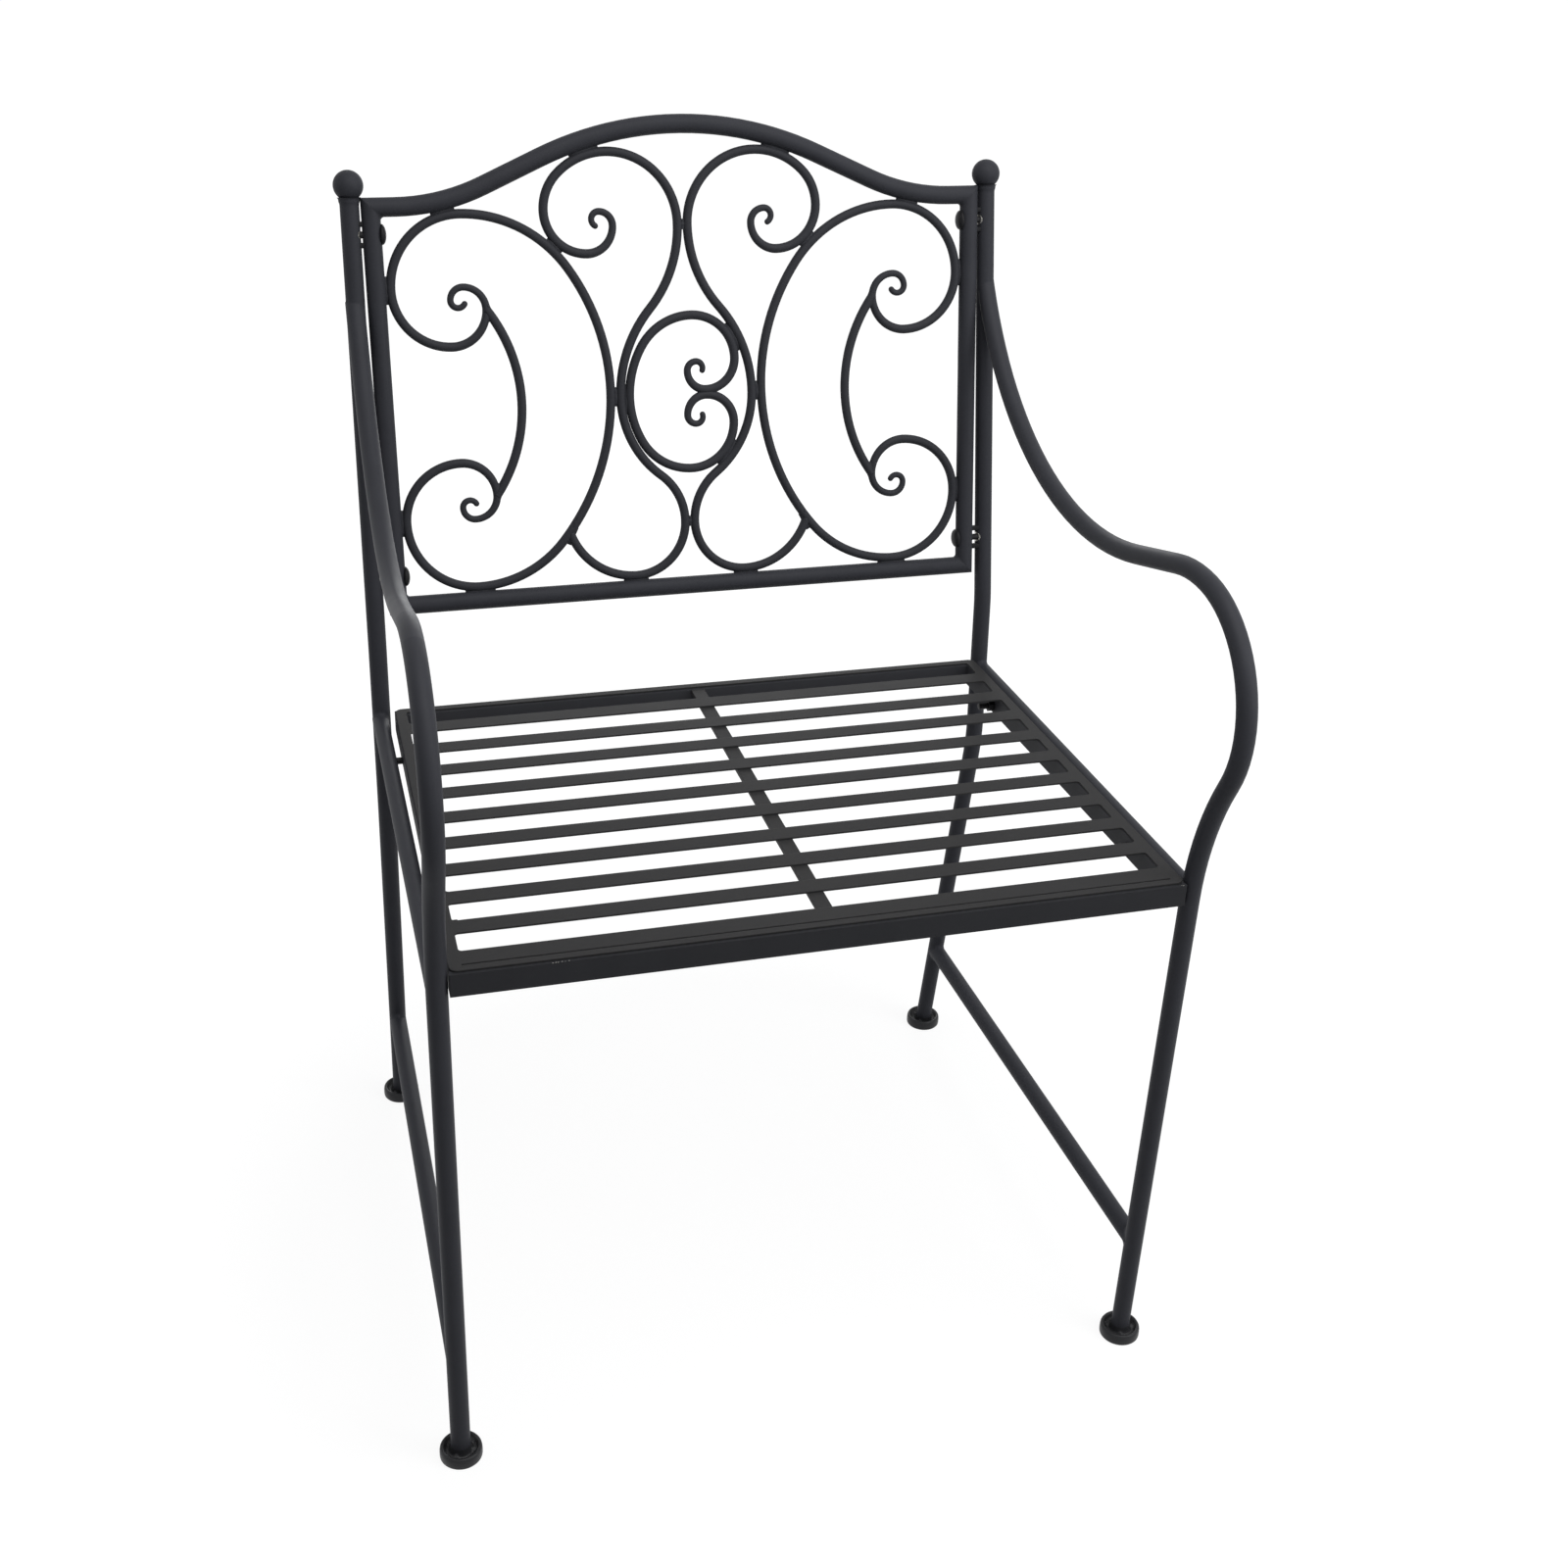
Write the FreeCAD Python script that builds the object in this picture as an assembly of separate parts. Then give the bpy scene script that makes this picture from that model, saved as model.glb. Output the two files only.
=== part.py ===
import FreeCAD, Part

import math
import os

from FreeCAD import Placement, Rotation, Vector

# Welded and bolted steel garden armchair. Millimetres, +Z up, the sitter faces -Y.
# The origin is on the floor under the middle of the chair. While the chair is drawn,
# y is measured from the bend of the rear posts; the last step moves everything once.

# Stock
TUBE = 16.0
TUBE_WALL = 1.2
RAIL_TUBE = 14.0
ROD = 8.0
ROD_TIP = 5.2
SEAT_TUBE_WALL = 1.5
SHEET_WALL = 1.5

# Clearances
WELD_GAP = 0.2
BEAD_GAP = 0.8
HOLE_CLEARANCE = 0.4
SLIP = 0.1
CUT_PAST = 1.0

# Widths, from the middle of the chair to the axis of a tube. The seat sets the others
SEAT_RAIL_FRONT_HALF_WIDTH = 295.0
SEAT_TAPER = 6.5
FRONT_LEG_SPREAD = 2.8
REAR_LEG_SPREAD = 3.0
PANEL_CLEARANCE = 6.5
SEAT_RAIL_REAR_HALF_WIDTH = SEAT_RAIL_FRONT_HALF_WIDTH - SEAT_TAPER
FRONT_FOOT_HALF_WIDTH = SEAT_RAIL_FRONT_HALF_WIDTH - FRONT_LEG_SPREAD
REAR_FOOT_HALF_WIDTH = SEAT_RAIL_REAR_HALF_WIDTH - REAR_LEG_SPREAD
STILE_HALF_WIDTH = SEAT_RAIL_REAR_HALF_WIDTH - TUBE - PANEL_CLEARANCE

# Back panel, raked with the upper part of the posts
BACK_RAKE = 10.2
PANEL_FOOT_HEIGHT = 563.3
PANEL_BEHIND_POST = -1.6
STILE_HEIGHT = 338.6
CROWN_RISE = 63.8
CROWN_RADIUS = 300.0
CROWN_TURN = 24.0
SHOULDER_RADIUS = 184.0
SCROLL_MIDDLE_HEIGHT = 178.0
S_MIDDLE_HALF_WIDTH = 60.0

# Rear posts, in side view: raked back leg, two soft bends, raked upper part
REAR_FOOT_Y = 66.3
LEG_SPLAY = 9.79
LOWER_BEND_HEIGHT = 384.0
LOWER_BEND_RADIUS = 170.0
UPPER_BEND_HEIGHT = 529.5
UPPER_BEND_RADIUS = 150.0
MIDDLE_LEAN = 3.19
POST_ABOVE_PANEL = 5.05
REAR_TOE = 2.66
REAR_LEAN_IN = 0.15

# Arm and front leg, one tube bent five times
FRONT_FOOT_Y = -429.6
FRONT_LEG_TILT = 0.72
FRONT_LEG_RUN = 449.0
ARM_RISE_RADIUS = 257.0
ARM_RISE_TURN = 26.85
ARM_HAND_RADIUS = 93.0
ARM_HAND_TURN = 109.2
ARM_REST_RADIUS = 122.5
ARM_REST_TURN = 22.9
ARM_REST_RUN = 67.0
ARM_BACK_RADIUS = 312.0
ARM_BACK_TURN = 72.7
FRONT_TOE = 1.24
FRONT_LEAN_OUT = 0.18

# Cross members of the sides
STRETCHER_HEIGHT = 106.0
SEAT_TOP_HEIGHT = 472.2
SEAT_RAIL_DROP = 13.2

# Feet and finials
FOOT_DIAMETER = 33.2
FOOT_EDGE_HEIGHT = 5.6
FOOT_DISH_DEPTH = 1.0
FOOT_COLLAR_HEIGHT = 6.4
FOOT_FLOOR = 3.0
FOOT_CHAMFER = 1.2
FOOT_COLLAR_WALL = 1.4
BALL_DIAMETER = 25.0
BALL_COLLAR_DIAMETER = 17.2
BALL_COLLAR_HEIGHT = 1.6
BALL_PLUG_LENGTH = 14.0

# Scroll bends. Each list runs inward along the curl, in quarter turns but for the last
C_UPPER_BACK_TURN = 35.0
C_UPPER_SIDE_RADIUS = 61.1
C_LOWER_BACK_TURN = 40.3
C_LOWER_SIDE_RADIUS = 60.2
C_UPPER_CURL = [48.9, 30.6, 19.2, 10.9, 6.4]
C_LOWER_CURL = [50.0, 30.0, 19.8, 10.6, 6.4]
C_TIP_TURN = 150.0
S_WAIST_OUT_RADIUS = 115.2
S_WAIST_IN_RADIUS = 107.0
S_FOOT_OUT_RADIUS = 88.9
S_FOOT_IN_RADIUS = 54.0
S_FOOT_RADIUS = 46.8
S_HEEL_RADIUS = 62.0
S_HEEL_TURN = 88.0
S_CURL = [36.6, 23.0, 12.0, 6.4]
S_TIP_TURN = 150.0
MIDDLE_BACK_TURN = 30.0
MIDDLE_UPPER_BACK_RADIUS = 86.0
MIDDLE_UPPER_SHOULDER_RADIUS = 53.0
MIDDLE_LOWER_BACK_RADIUS = 80.0
MIDDLE_LOWER_SHOULDER_RADIUS = 50.8
MIDDLE_UPPER_CURL = [26.5, 17.0, 8.0, 6.0]
MIDDLE_LOWER_CURL = [25.0, 17.5, 8.0, 6.0]
MIDDLE_TIP_TURN = 110.0
BOW_SAG = 26.0
BOW_TURN_COUNT = 2
C_TAPER_COUNT = 4
S_TAPER_COUNT = 3
MIDDLE_TAPER_COUNT = 3
BEAD_LENGTH = 9.0
BEAD_WIDTH = 4.4

# Seat
SEAT_FRONT_OVERHANG = 13.1
SEAT_REAR_Y = -6.9
SEAT_FRONT_GAP = 2.7
SEAT_REAR_GAP = 5.3
SEAT_TUBE_HEIGHT = 18.5
SEAT_TUBE_WIDTH = 10.0
SHEET_SETBACK = 0.6
SHEET_FRONT_SETBACK = 2.7
SHEET_CORNER_RADIUS = 6.0
SLOT_PITCH = 41.8
SLOT_WIDTH = 24.5
SLOT_END_MARGIN = 9.2
SLOT_CORNER_RADIUS = 3.0
REAR_SLOT_MARGIN = 7.1
FRONT_SLOT_MARGIN = 27.0
GROOVE_WIDTH = 1.8
GROOVE_DEPTH = 0.9
CENTRE_BAR_WIDTH = 12.0
CENTRE_BAR_HEIGHT = 4.0

# Bolts
BOLT = 6.0
BACK_BOLT_HEAD = 19.5
BACK_BOLT_HEAD_HEIGHT = 3.6
BACK_BOLT_TOP_OFFSET = 21.9
BACK_BOLT_BOTTOM_OFFSET = 26.1
SPACER_DIAMETER = 20.0
SPACER_SLOT = 8.0
INSERT_DIAMETER = 9.0
INSERT_COLLAR = 11.0
INSERT_COLLAR_LENGTH = 2.5
INSERT_TAIL = 3.0
SEAT_STUD_REAR_Y = -82.0
SEAT_STUD_FRONT_Y = -360.0
SEAT_STUD_TAIL = 9.0
NUT_WIDTH = 10.0
NUT_HEIGHT = 5.0

# Sizes that follow from the ones above
POST_HEIGHT = PANEL_FOOT_HEIGHT + STILE_HEIGHT * math.cos(math.radians(BACK_RAKE)) + POST_ABOVE_PANEL
SEAT_RAIL_HEIGHT = SEAT_TOP_HEIGHT - SEAT_RAIL_DROP
SEAT_FRONT_Y = FRONT_FOOT_Y - SEAT_FRONT_OVERHANG
SLOT_WEB = SLOT_PITCH - SLOT_WIDTH
SLOTTED_DEPTH = SEAT_REAR_Y - REAR_SLOT_MARGIN - SEAT_FRONT_Y - FRONT_SLOT_MARGIN
SLOT_COUNT = int((SLOTTED_DEPTH + SLOT_WEB) / SLOT_PITCH)

# Drawing helpers that are not sizes of the chair
NODES = {}
RIGHT_ANGLE = 90.0
FULL_TURN = 360.0
SOLVER_STEPS = 24
SHOULDER_TRIES = [0.2, 0.95]
HEAD_TRIES = [0.5, 1.8]
LOOP_TRIES = [0.5, 1.0]
HEX_SIDES = 6
HEX_TURN = 60.0
LEVEL_SIZE = 4000.0
WEDGE_REACH = 40.0


def sin(angle):
    return math.sin(math.radians(angle))


def cos(angle):
    return math.cos(math.radians(angle))


# Flat drawing of bent tube: runs and tangent bends

class Bent:
    """A flat centre line that grows by straight runs and tangent bends."""

    def __init__(self, start, heading):
        self.end = start
        self.heading = heading
        self.pieces = []
        self.tangent = 0.0

    def run(self, length):
        x, y = self.end
        middle = (x + length / 2 * cos(self.heading), y + length / 2 * sin(self.heading))
        end = (x + length * cos(self.heading), y + length * sin(self.heading))
        self.pieces.append(("run", self.end, middle, end))
        self.end = end
        return self

    def bend(self, radius, turn):
        """Turn is in degrees, positive to the left."""
        side = math.copysign(1.0, turn)
        x, y = self.end
        centre_x = x - side * radius * sin(self.heading)
        centre_y = y + side * radius * cos(self.heading)

        def point(share):
            angle = self.heading + turn * share
            return (centre_x + side * radius * sin(angle), centre_y - side * radius * cos(angle))

        self.pieces.append(("bend", self.end, point(0.5), point(1.0)))
        self.end = point(1.0)
        self.heading += turn
        return self

    def corner(self, distance, radius, turn):
        """A run and a bend whose corner point lies at a distance from the last corner point."""
        tangent = radius * math.tan(math.radians(abs(turn) / 2))
        self.run(distance - self.tangent - tangent)
        self.bend(radius, turn)
        self.tangent = tangent
        return self

    def curl(self, radii, side, tip_turn):
        """Quarter turns that tighten inward, then one last turn at the tip."""
        for radius in radii[:-1]:
            self.bend(radius, side * RIGHT_ANGLE)
        return self.bend(radii[-1], side * tip_turn)


def backwards(pieces):
    return [(kind, end, middle, start) for kind, start, middle, end in reversed(pieces)]


def sideways(pieces):
    """The same drawing mirrored left to right."""
    def flip(point):
        return (-point[0], point[1])
    return [(kind, flip(start), flip(middle), flip(end)) for kind, start, middle, end in pieces]


def flat_wire(pieces, place):
    edges = []
    for kind, start, middle, end in pieces:
        if kind == "run":
            edges.append(Part.LineSegment(place(start), place(end)).toShape())
        else:
            edges.append(Part.Arc(place(start), place(middle), place(end)).toShape())
    return Part.Wire(edges)


def flat_point(point):
    return Vector(point[0], point[1], 0)


def flat_gap(pieces_a, pieces_b):
    """Distance between two centre lines drawn on the same flat."""
    wire_a = flat_wire(pieces_a, flat_point)
    wire_b = flat_wire(pieces_b, flat_point)
    return wire_a.distToShape(wire_b)[0]


def solve(measure, low, high):
    """Value between low and high at which a steadily changing measure crosses zero."""
    rising = measure(high) > measure(low)
    for _ in range(SOLVER_STEPS):
        middle = (low + high) / 2
        if (measure(middle) > 0) == rising:
            high = middle
        else:
            low = middle
    return (low + high) / 2


# Solids along a wire

def ring(edge, parameter, radius, seam=None):
    circle = Part.Circle(edge.valueAt(parameter), edge.tangentAt(parameter), radius)
    if seam is not None:
        circle.XAxis = seam
    return Part.Wire(circle.toShape())


def bar_along(wire, radius, end_radius=None):
    """Round bar along a wire, tapering to the end radius if one is given."""
    first = wire.OrderedEdges[0]
    profiles = [ring(first, first.FirstParameter, radius)]
    if end_radius is not None:
        last = wire.OrderedEdges[-1]
        profiles.append(ring(last, last.LastParameter, end_radius))
    return wire.makePipeShell(profiles, True, False)


def tube_along(wire, diameter):
    outer = bar_along(wire, diameter / 2)
    return outer, outer.cut(bar_along(wire, diameter / 2 - TUBE_WALL))


def straight_tube(start, end, diameter):
    return tube_along(Part.Wire(Part.LineSegment(start, end).toShape()), diameter)


def cylinder_between(start, end, radius):
    axis = end - start
    return Part.makeCylinder(radius, axis.Length, start, axis)


def mirrored(shape):
    return shape.mirror(Vector(0, 0, 0), Vector(1, 0, 0))


def add_pair(name, shape):
    NODES["right_" + name] = shape
    NODES["left_" + name] = mirrored(shape)


def one_solid(shape):
    return max(shape.Solids, key=lambda solid: solid.Volume)


# Side frames: every bent tube is flat in its own plane, toed and leaned a little

def side_place(half_width, foot_y, toe, lean):
    turn = Placement(Vector(half_width, foot_y, 0), Rotation(toe, 0, 0))
    tilt = Placement(Vector(0, 0, 0), Rotation(Vector(0, 1, 0), lean))
    place = turn.multiply(tilt)

    def at(point):
        return place.multVec(Vector(0, point[0] - foot_y, point[1]))
    return at


REAR_AT = side_place(REAR_FOOT_HALF_WIDTH, REAR_FOOT_Y, REAR_TOE, -REAR_LEAN_IN)
FRONT_AT = side_place(FRONT_FOOT_HALF_WIDTH, FRONT_FOOT_Y, FRONT_TOE, FRONT_LEAN_OUT)


def rear_post_line():
    lower_run = (LOWER_BEND_HEIGHT - FOOT_FLOOR) / cos(LEG_SPLAY)
    middle_run = (UPPER_BEND_HEIGHT - LOWER_BEND_HEIGHT) / cos(MIDDLE_LEAN)
    upper_run = (POST_HEIGHT - UPPER_BEND_HEIGHT) / cos(BACK_RAKE)
    foot = (REAR_FOOT_Y - FOOT_FLOOR * math.tan(math.radians(LEG_SPLAY)), FOOT_FLOOR)
    post = Bent(foot, RIGHT_ANGLE + LEG_SPLAY)
    post.corner(lower_run, LOWER_BEND_RADIUS, -(LEG_SPLAY + MIDDLE_LEAN))
    post.corner(middle_run, UPPER_BEND_RADIUS, -(BACK_RAKE - MIDDLE_LEAN))
    return post.run(upper_run - post.tangent)


def upper_post_y(height):
    """Depth of the upper part of the rear post at a height."""
    return REAR_POST.end[0] - (REAR_POST.end[1] - height) * math.tan(math.radians(BACK_RAKE))


REAR_POST = rear_post_line()


def arm_line():
    arm = Bent((FRONT_FOOT_Y, FOOT_FLOOR), RIGHT_ANGLE + FRONT_LEG_TILT)
    arm.run(FRONT_LEG_RUN)
    arm.bend(ARM_RISE_RADIUS, ARM_RISE_TURN)
    arm.bend(ARM_HAND_RADIUS, -ARM_HAND_TURN)
    arm.bend(ARM_REST_RADIUS, -ARM_REST_TURN)
    arm.run(ARM_REST_RUN)
    arm.bend(ARM_BACK_RADIUS, ARM_BACK_TURN)
    gap = upper_post_y(arm.end[1]) - arm.end[0]
    arm.run(gap / cos(arm.heading))
    return arm


ARM = arm_line()


def at_height(wire, height):
    """Point where a side tube's centre line passes a height."""
    level = Part.makePlane(LEVEL_SIZE, LEVEL_SIZE, Vector(-LEVEL_SIZE / 2, -LEVEL_SIZE / 2, height))
    return wire.distToShape(level)[1][0][0]


def seat_rail_ends():
    """Axis of the right seat rail, from the rear post to the front leg."""
    rear = at_height(flat_wire(REAR_POST.pieces, REAR_AT), SEAT_RAIL_HEIGHT)
    front = at_height(flat_wire(ARM.pieces, FRONT_AT), SEAT_RAIL_HEIGHT)
    return (Vector(SEAT_RAIL_REAR_HALF_WIDTH, rear.y, SEAT_RAIL_HEIGHT),
            Vector(SEAT_RAIL_FRONT_HALF_WIDTH, front.y, SEAT_RAIL_HEIGHT))


def build_sides():
    rear_wire = flat_wire(REAR_POST.pieces, REAR_AT)
    front_wire = flat_wire(ARM.pieces, FRONT_AT)
    rear_outer, rear_post = tube_along(rear_wire, TUBE)
    front_outer, front_leg = tube_along(front_wire, TUBE)
    front_leg = one_solid(front_leg.cut(rear_outer))
    front_outer = one_solid(front_outer.cut(rear_outer))

    stretcher = straight_tube(at_height(rear_wire, STRETCHER_HEIGHT),
                              at_height(front_wire, STRETCHER_HEIGHT), TUBE)[1]
    stretcher = stretcher.cut(rear_outer).cut(front_outer)

    rail = straight_tube(*seat_rail_ends(), RAIL_TUBE)[1]
    rail = rail.cut(rear_outer).cut(front_outer)
    return rear_outer, rear_post, front_outer, front_leg, one_solid(stretcher), one_solid(rail)


def foot_for(place, line, tube_outer):
    """Turned steel disc, flat below, dished round the tube that stands in it."""
    centre = place(line.pieces[0][1])
    radius = FOOT_DIAMETER / 2
    collar = TUBE / 2 + FOOT_COLLAR_WALL
    profile = [
        Vector(0, 0, 0),
        Vector(radius - FOOT_CHAMFER, 0, 0),
        Vector(radius, 0, FOOT_CHAMFER),
        Vector(radius, 0, FOOT_EDGE_HEIGHT - FOOT_CHAMFER),
        Vector(radius - FOOT_CHAMFER, 0, FOOT_EDGE_HEIGHT),
        Vector((radius + collar) / 2, 0, FOOT_EDGE_HEIGHT - FOOT_DISH_DEPTH),
        Vector(collar, 0, FOOT_COLLAR_HEIGHT),
        Vector(0, 0, FOOT_COLLAR_HEIGHT),
        Vector(0, 0, 0),
    ]
    disc = Part.Face(Part.makePolygon(profile)).revolve(Vector(), Vector(0, 0, 1), FULL_TURN)
    disc.translate(Vector(centre.x, centre.y, 0))
    return one_solid(disc.cut(tube_outer))


def ball_finial():
    """Ball with a short collar, plugged into the top of the rear post."""
    end = REAR_AT(REAR_POST.end)
    radius = BALL_DIAMETER / 2
    ball = Part.makeSphere(radius, Vector(0, 0, radius))
    collar = Part.makeCylinder(BALL_COLLAR_DIAMETER / 2, BALL_COLLAR_HEIGHT)
    plug = Part.makeCylinder(TUBE / 2 - TUBE_WALL - SLIP, BALL_PLUG_LENGTH, Vector(0, 0, -BALL_PLUG_LENGTH))
    finial = ball.fuse([collar, plug])
    axis = end - REAR_AT((REAR_POST.end[0] - sin(BACK_RAKE), REAR_POST.end[1] - cos(BACK_RAKE)))
    finial.Placement = Placement(end, Rotation(Vector(0, 0, 1), axis))
    return finial


# Back panel: a mitred tube frame with bent scrolls, drawn flat and raked with the posts

PANEL_FOOT_Y = upper_post_y(PANEL_FOOT_HEIGHT) + PANEL_BEHIND_POST


def panel_at(point):
    across, up = point
    return Vector(across, PANEL_FOOT_Y + up * sin(BACK_RAKE), PANEL_FOOT_HEIGHT + up * cos(BACK_RAKE))


def panel_normal():
    return Vector(0, cos(BACK_RAKE), -sin(BACK_RAKE))


def top_rail_half():
    """Right half of the top rail, from the crown to the corner."""
    bend_drop = (CROWN_RADIUS + SHOULDER_RADIUS) * (1 - cos(CROWN_TURN))
    slope_run = (CROWN_RISE - bend_drop) / sin(CROWN_TURN)
    rail = Bent((0.0, STILE_HEIGHT + CROWN_RISE), 0.0)
    rail.bend(CROWN_RADIUS, -CROWN_TURN)
    rail.run(slope_run)
    rail.bend(SHOULDER_RADIUS, CROWN_TURN)
    rail.run(STILE_HALF_WIDTH - rail.end[0])
    return rail


TOP_RAIL = top_rail_half()
TOUCH_TUBE = TUBE / 2 + ROD / 2 + WELD_GAP
TOUCH_ROD = ROD + WELD_GAP
OUTER_REACH = STILE_HALF_WIDTH - TOUCH_TUBE
BOTTOM_REACH = TOUCH_TUBE
C_MIDDLE_HALF_WIDTH = S_MIDDLE_HALF_WIDTH + ROD + BEAD_GAP
S_NECK_HALF_WIDTH = ROD / 2 + BEAD_GAP / 2


def c_room(side_radius):
    """Room across the panel for the back and the shoulder of the C."""
    return OUTER_REACH - side_radius - C_MIDDLE_HALF_WIDTH


def c_half(side, back_turn, shoulder_radius, side_radius, curl):
    """From the back of the C outward, side 1 upward or -1 downward, touching the stile."""
    back_radius = (c_room(side_radius) - shoulder_radius * cos(back_turn)) / (1 - cos(back_turn))
    half = Bent((C_MIDDLE_HALF_WIDTH, SCROLL_MIDDLE_HEIGHT), side * RIGHT_ANGLE)
    half.bend(back_radius, -side * back_turn)
    half.bend(shoulder_radius, side * (back_turn - RIGHT_ANGLE))
    half.bend(side_radius, -side * RIGHT_ANGLE)
    return half.curl(curl, -side, C_TIP_TURN)


def c_scroll_lines():
    """Both halves, each bent until it touches the top or the bottom rail."""
    def upper(radius):
        return c_half(1, C_UPPER_BACK_TURN, radius, C_UPPER_SIDE_RADIUS, C_UPPER_CURL)

    def lower(radius):
        return c_half(-1, C_LOWER_BACK_TURN, radius, C_LOWER_SIDE_RADIUS, C_LOWER_CURL)

    def upper_clearance(radius):
        return flat_gap(upper(radius).pieces[:3], TOP_RAIL.pieces) - TOUCH_TUBE

    def lower_clearance(radius):
        return lower(radius).pieces[1][3][1] - BOTTOM_REACH

    def seat(half, clearance, back_turn, side_radius):
        widest = c_room(side_radius) / cos(back_turn)
        return half(solve(clearance, SHOULDER_TRIES[0] * widest, SHOULDER_TRIES[1] * widest))
    return (seat(upper, upper_clearance, C_UPPER_BACK_TURN, C_UPPER_SIDE_RADIUS),
            seat(lower, lower_clearance, C_LOWER_BACK_TURN, C_LOWER_SIDE_RADIUS))


def s_lower_half(middle_height):
    """From the waist of the S down to the bottom rail and round under the C."""
    half = Bent((S_MIDDLE_HALF_WIDTH, middle_height), -RIGHT_ANGLE)
    swing = S_MIDDLE_HALF_WIDTH - S_NECK_HALF_WIDTH
    turn = math.degrees(math.acos(1 - swing / (S_FOOT_OUT_RADIUS + S_FOOT_IN_RADIUS)))
    half.bend(S_FOOT_OUT_RADIUS, -turn)
    half.bend(S_FOOT_IN_RADIUS, turn)
    half.bend(S_FOOT_RADIUS, RIGHT_ANGLE)
    return half


def s_upper_half(middle_height):
    """From the waist of the S up to the neck, and round under the crown."""
    half = Bent((S_MIDDLE_HALF_WIDTH, middle_height), RIGHT_ANGLE)
    swing = S_MIDDLE_HALF_WIDTH - S_NECK_HALF_WIDTH
    turn = math.degrees(math.acos(1 - swing / (S_WAIST_OUT_RADIUS + S_WAIST_IN_RADIUS)))
    half.bend(S_WAIST_OUT_RADIUS, turn)
    half.bend(S_WAIST_IN_RADIUS, -turn)
    crown_centre = STILE_HEIGHT + CROWN_RISE - CROWN_RADIUS
    reach = CROWN_RADIUS - TOUCH_TUBE
    rise = half.end[1] - crown_centre
    square = reach ** 2 - S_NECK_HALF_WIDTH ** 2 - rise ** 2
    head_radius = square / (2 * (reach + S_NECK_HALF_WIDTH))
    return half.bend(head_radius, -1.5 * RIGHT_ANGLE)


def s_scroll_lines(c_pieces):
    """Both halves of the S, seated on the bottom rail, the crown and the C."""
    middle_height = BOTTOM_REACH - s_lower_half(0.0).end[1]
    lower = s_lower_half(middle_height).bend(S_HEEL_RADIUS, S_HEEL_TURN)

    def upper(radius):
        return s_upper_half(middle_height).bend(radius, -RIGHT_ANGLE / 2).curl(S_CURL, -1, S_TIP_TURN)

    def clearance(radius):
        return flat_gap(upper(radius).pieces[2:5], c_pieces) - TOUCH_ROD
    radius = solve(clearance, HEAD_TRIES[0] * S_CURL[0], HEAD_TRIES[1] * S_CURL[0])
    return upper(radius), lower


def middle_scroll_half(side, back_radius, shoulder_radius, top_radius, curl):
    """From the left S, side 1 upward or -1 downward, round to a tip in the middle."""
    start = (TOUCH_ROD - S_MIDDLE_HALF_WIDTH, S_LOWER.pieces[0][1][1])
    half = Bent(start, side * RIGHT_ANGLE)
    half.bend(back_radius, -side * MIDDLE_BACK_TURN)
    half.bend(shoulder_radius, -side * (RIGHT_ANGLE - MIDDLE_BACK_TURN))
    half.bend(top_radius, -side * RIGHT_ANGLE)
    return half.curl(curl, -side, MIDDLE_TIP_TURN)


def middle_scroll_lines(s_pieces):
    """Both halves, each bent until it touches the right-hand S."""
    def upper(radius):
        return middle_scroll_half(1, MIDDLE_UPPER_BACK_RADIUS, MIDDLE_UPPER_SHOULDER_RADIUS,
                                  radius, MIDDLE_UPPER_CURL)

    def lower(radius):
        return middle_scroll_half(-1, MIDDLE_LOWER_BACK_RADIUS, MIDDLE_LOWER_SHOULDER_RADIUS,
                                  radius, MIDDLE_LOWER_CURL)

    def seat(half):
        def clearance(radius):
            return TOUCH_ROD - flat_gap(half(radius).pieces[2:3], s_pieces)
        return half(solve(clearance, LOOP_TRIES[0] * S_FOOT_RADIUS, LOOP_TRIES[1] * S_FOOT_RADIUS))
    return seat(upper), seat(lower)


def bow_line(c_upper, c_lower):
    """Shallow arc between the curls of the C, bowed toward the middle of the back."""
    top = c_upper.pieces[BOW_TURN_COUNT - len(C_UPPER_CURL) - 1][3]
    bottom = c_lower.pieces[BOW_TURN_COUNT - len(C_LOWER_CURL) - 1][3]
    middle = (min(top[0], bottom[0]) - BOW_SAG, (top[1] + bottom[1]) / 2)
    return [("bend", top, middle, bottom)]


C_UPPER, C_LOWER = c_scroll_lines()
C_PIECES = backwards(C_UPPER.pieces) + C_LOWER.pieces
S_UPPER, S_LOWER = s_scroll_lines(C_PIECES)
S_PIECES = backwards(S_UPPER.pieces) + S_LOWER.pieces
MIDDLE_UPPER, MIDDLE_LOWER = middle_scroll_lines(S_PIECES)
MIDDLE_PIECES = backwards(MIDDLE_UPPER.pieces) + MIDDLE_LOWER.pieces
BOW_PIECES = bow_line(C_UPPER, C_LOWER)


def rod_skin(wire, radius, end_radius):
    """Side faces of a rod along a wire, with every seam on the back of the panel."""
    first = wire.OrderedEdges[0]
    last = wire.OrderedEdges[-1]
    rings = [
        ring(first, first.FirstParameter, radius, panel_normal()),
        ring(last, last.LastParameter, end_radius, panel_normal()),
    ]
    if radius == end_radius:
        rings = rings[:1]
    return wire.makePipeShell(rings, False, False).Faces


def round_cap(wire, radius):
    edge = wire.OrderedEdges[-1]
    centre = edge.valueAt(edge.LastParameter)
    ahead = edge.tangentAt(edge.LastParameter).normalize() * radius
    aside = panel_normal() * radius
    between = (ahead + aside).normalize() * radius
    arc = Part.Arc(centre + ahead, centre + between, centre + aside)
    return arc.toShape().revolve(centre, ahead, FULL_TURN).Faces


def flat_cap(wire, radius):
    edge = wire.OrderedEdges[-1]
    return [Part.Face(ring(edge, edge.LastParameter, radius, panel_normal()))]


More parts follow.
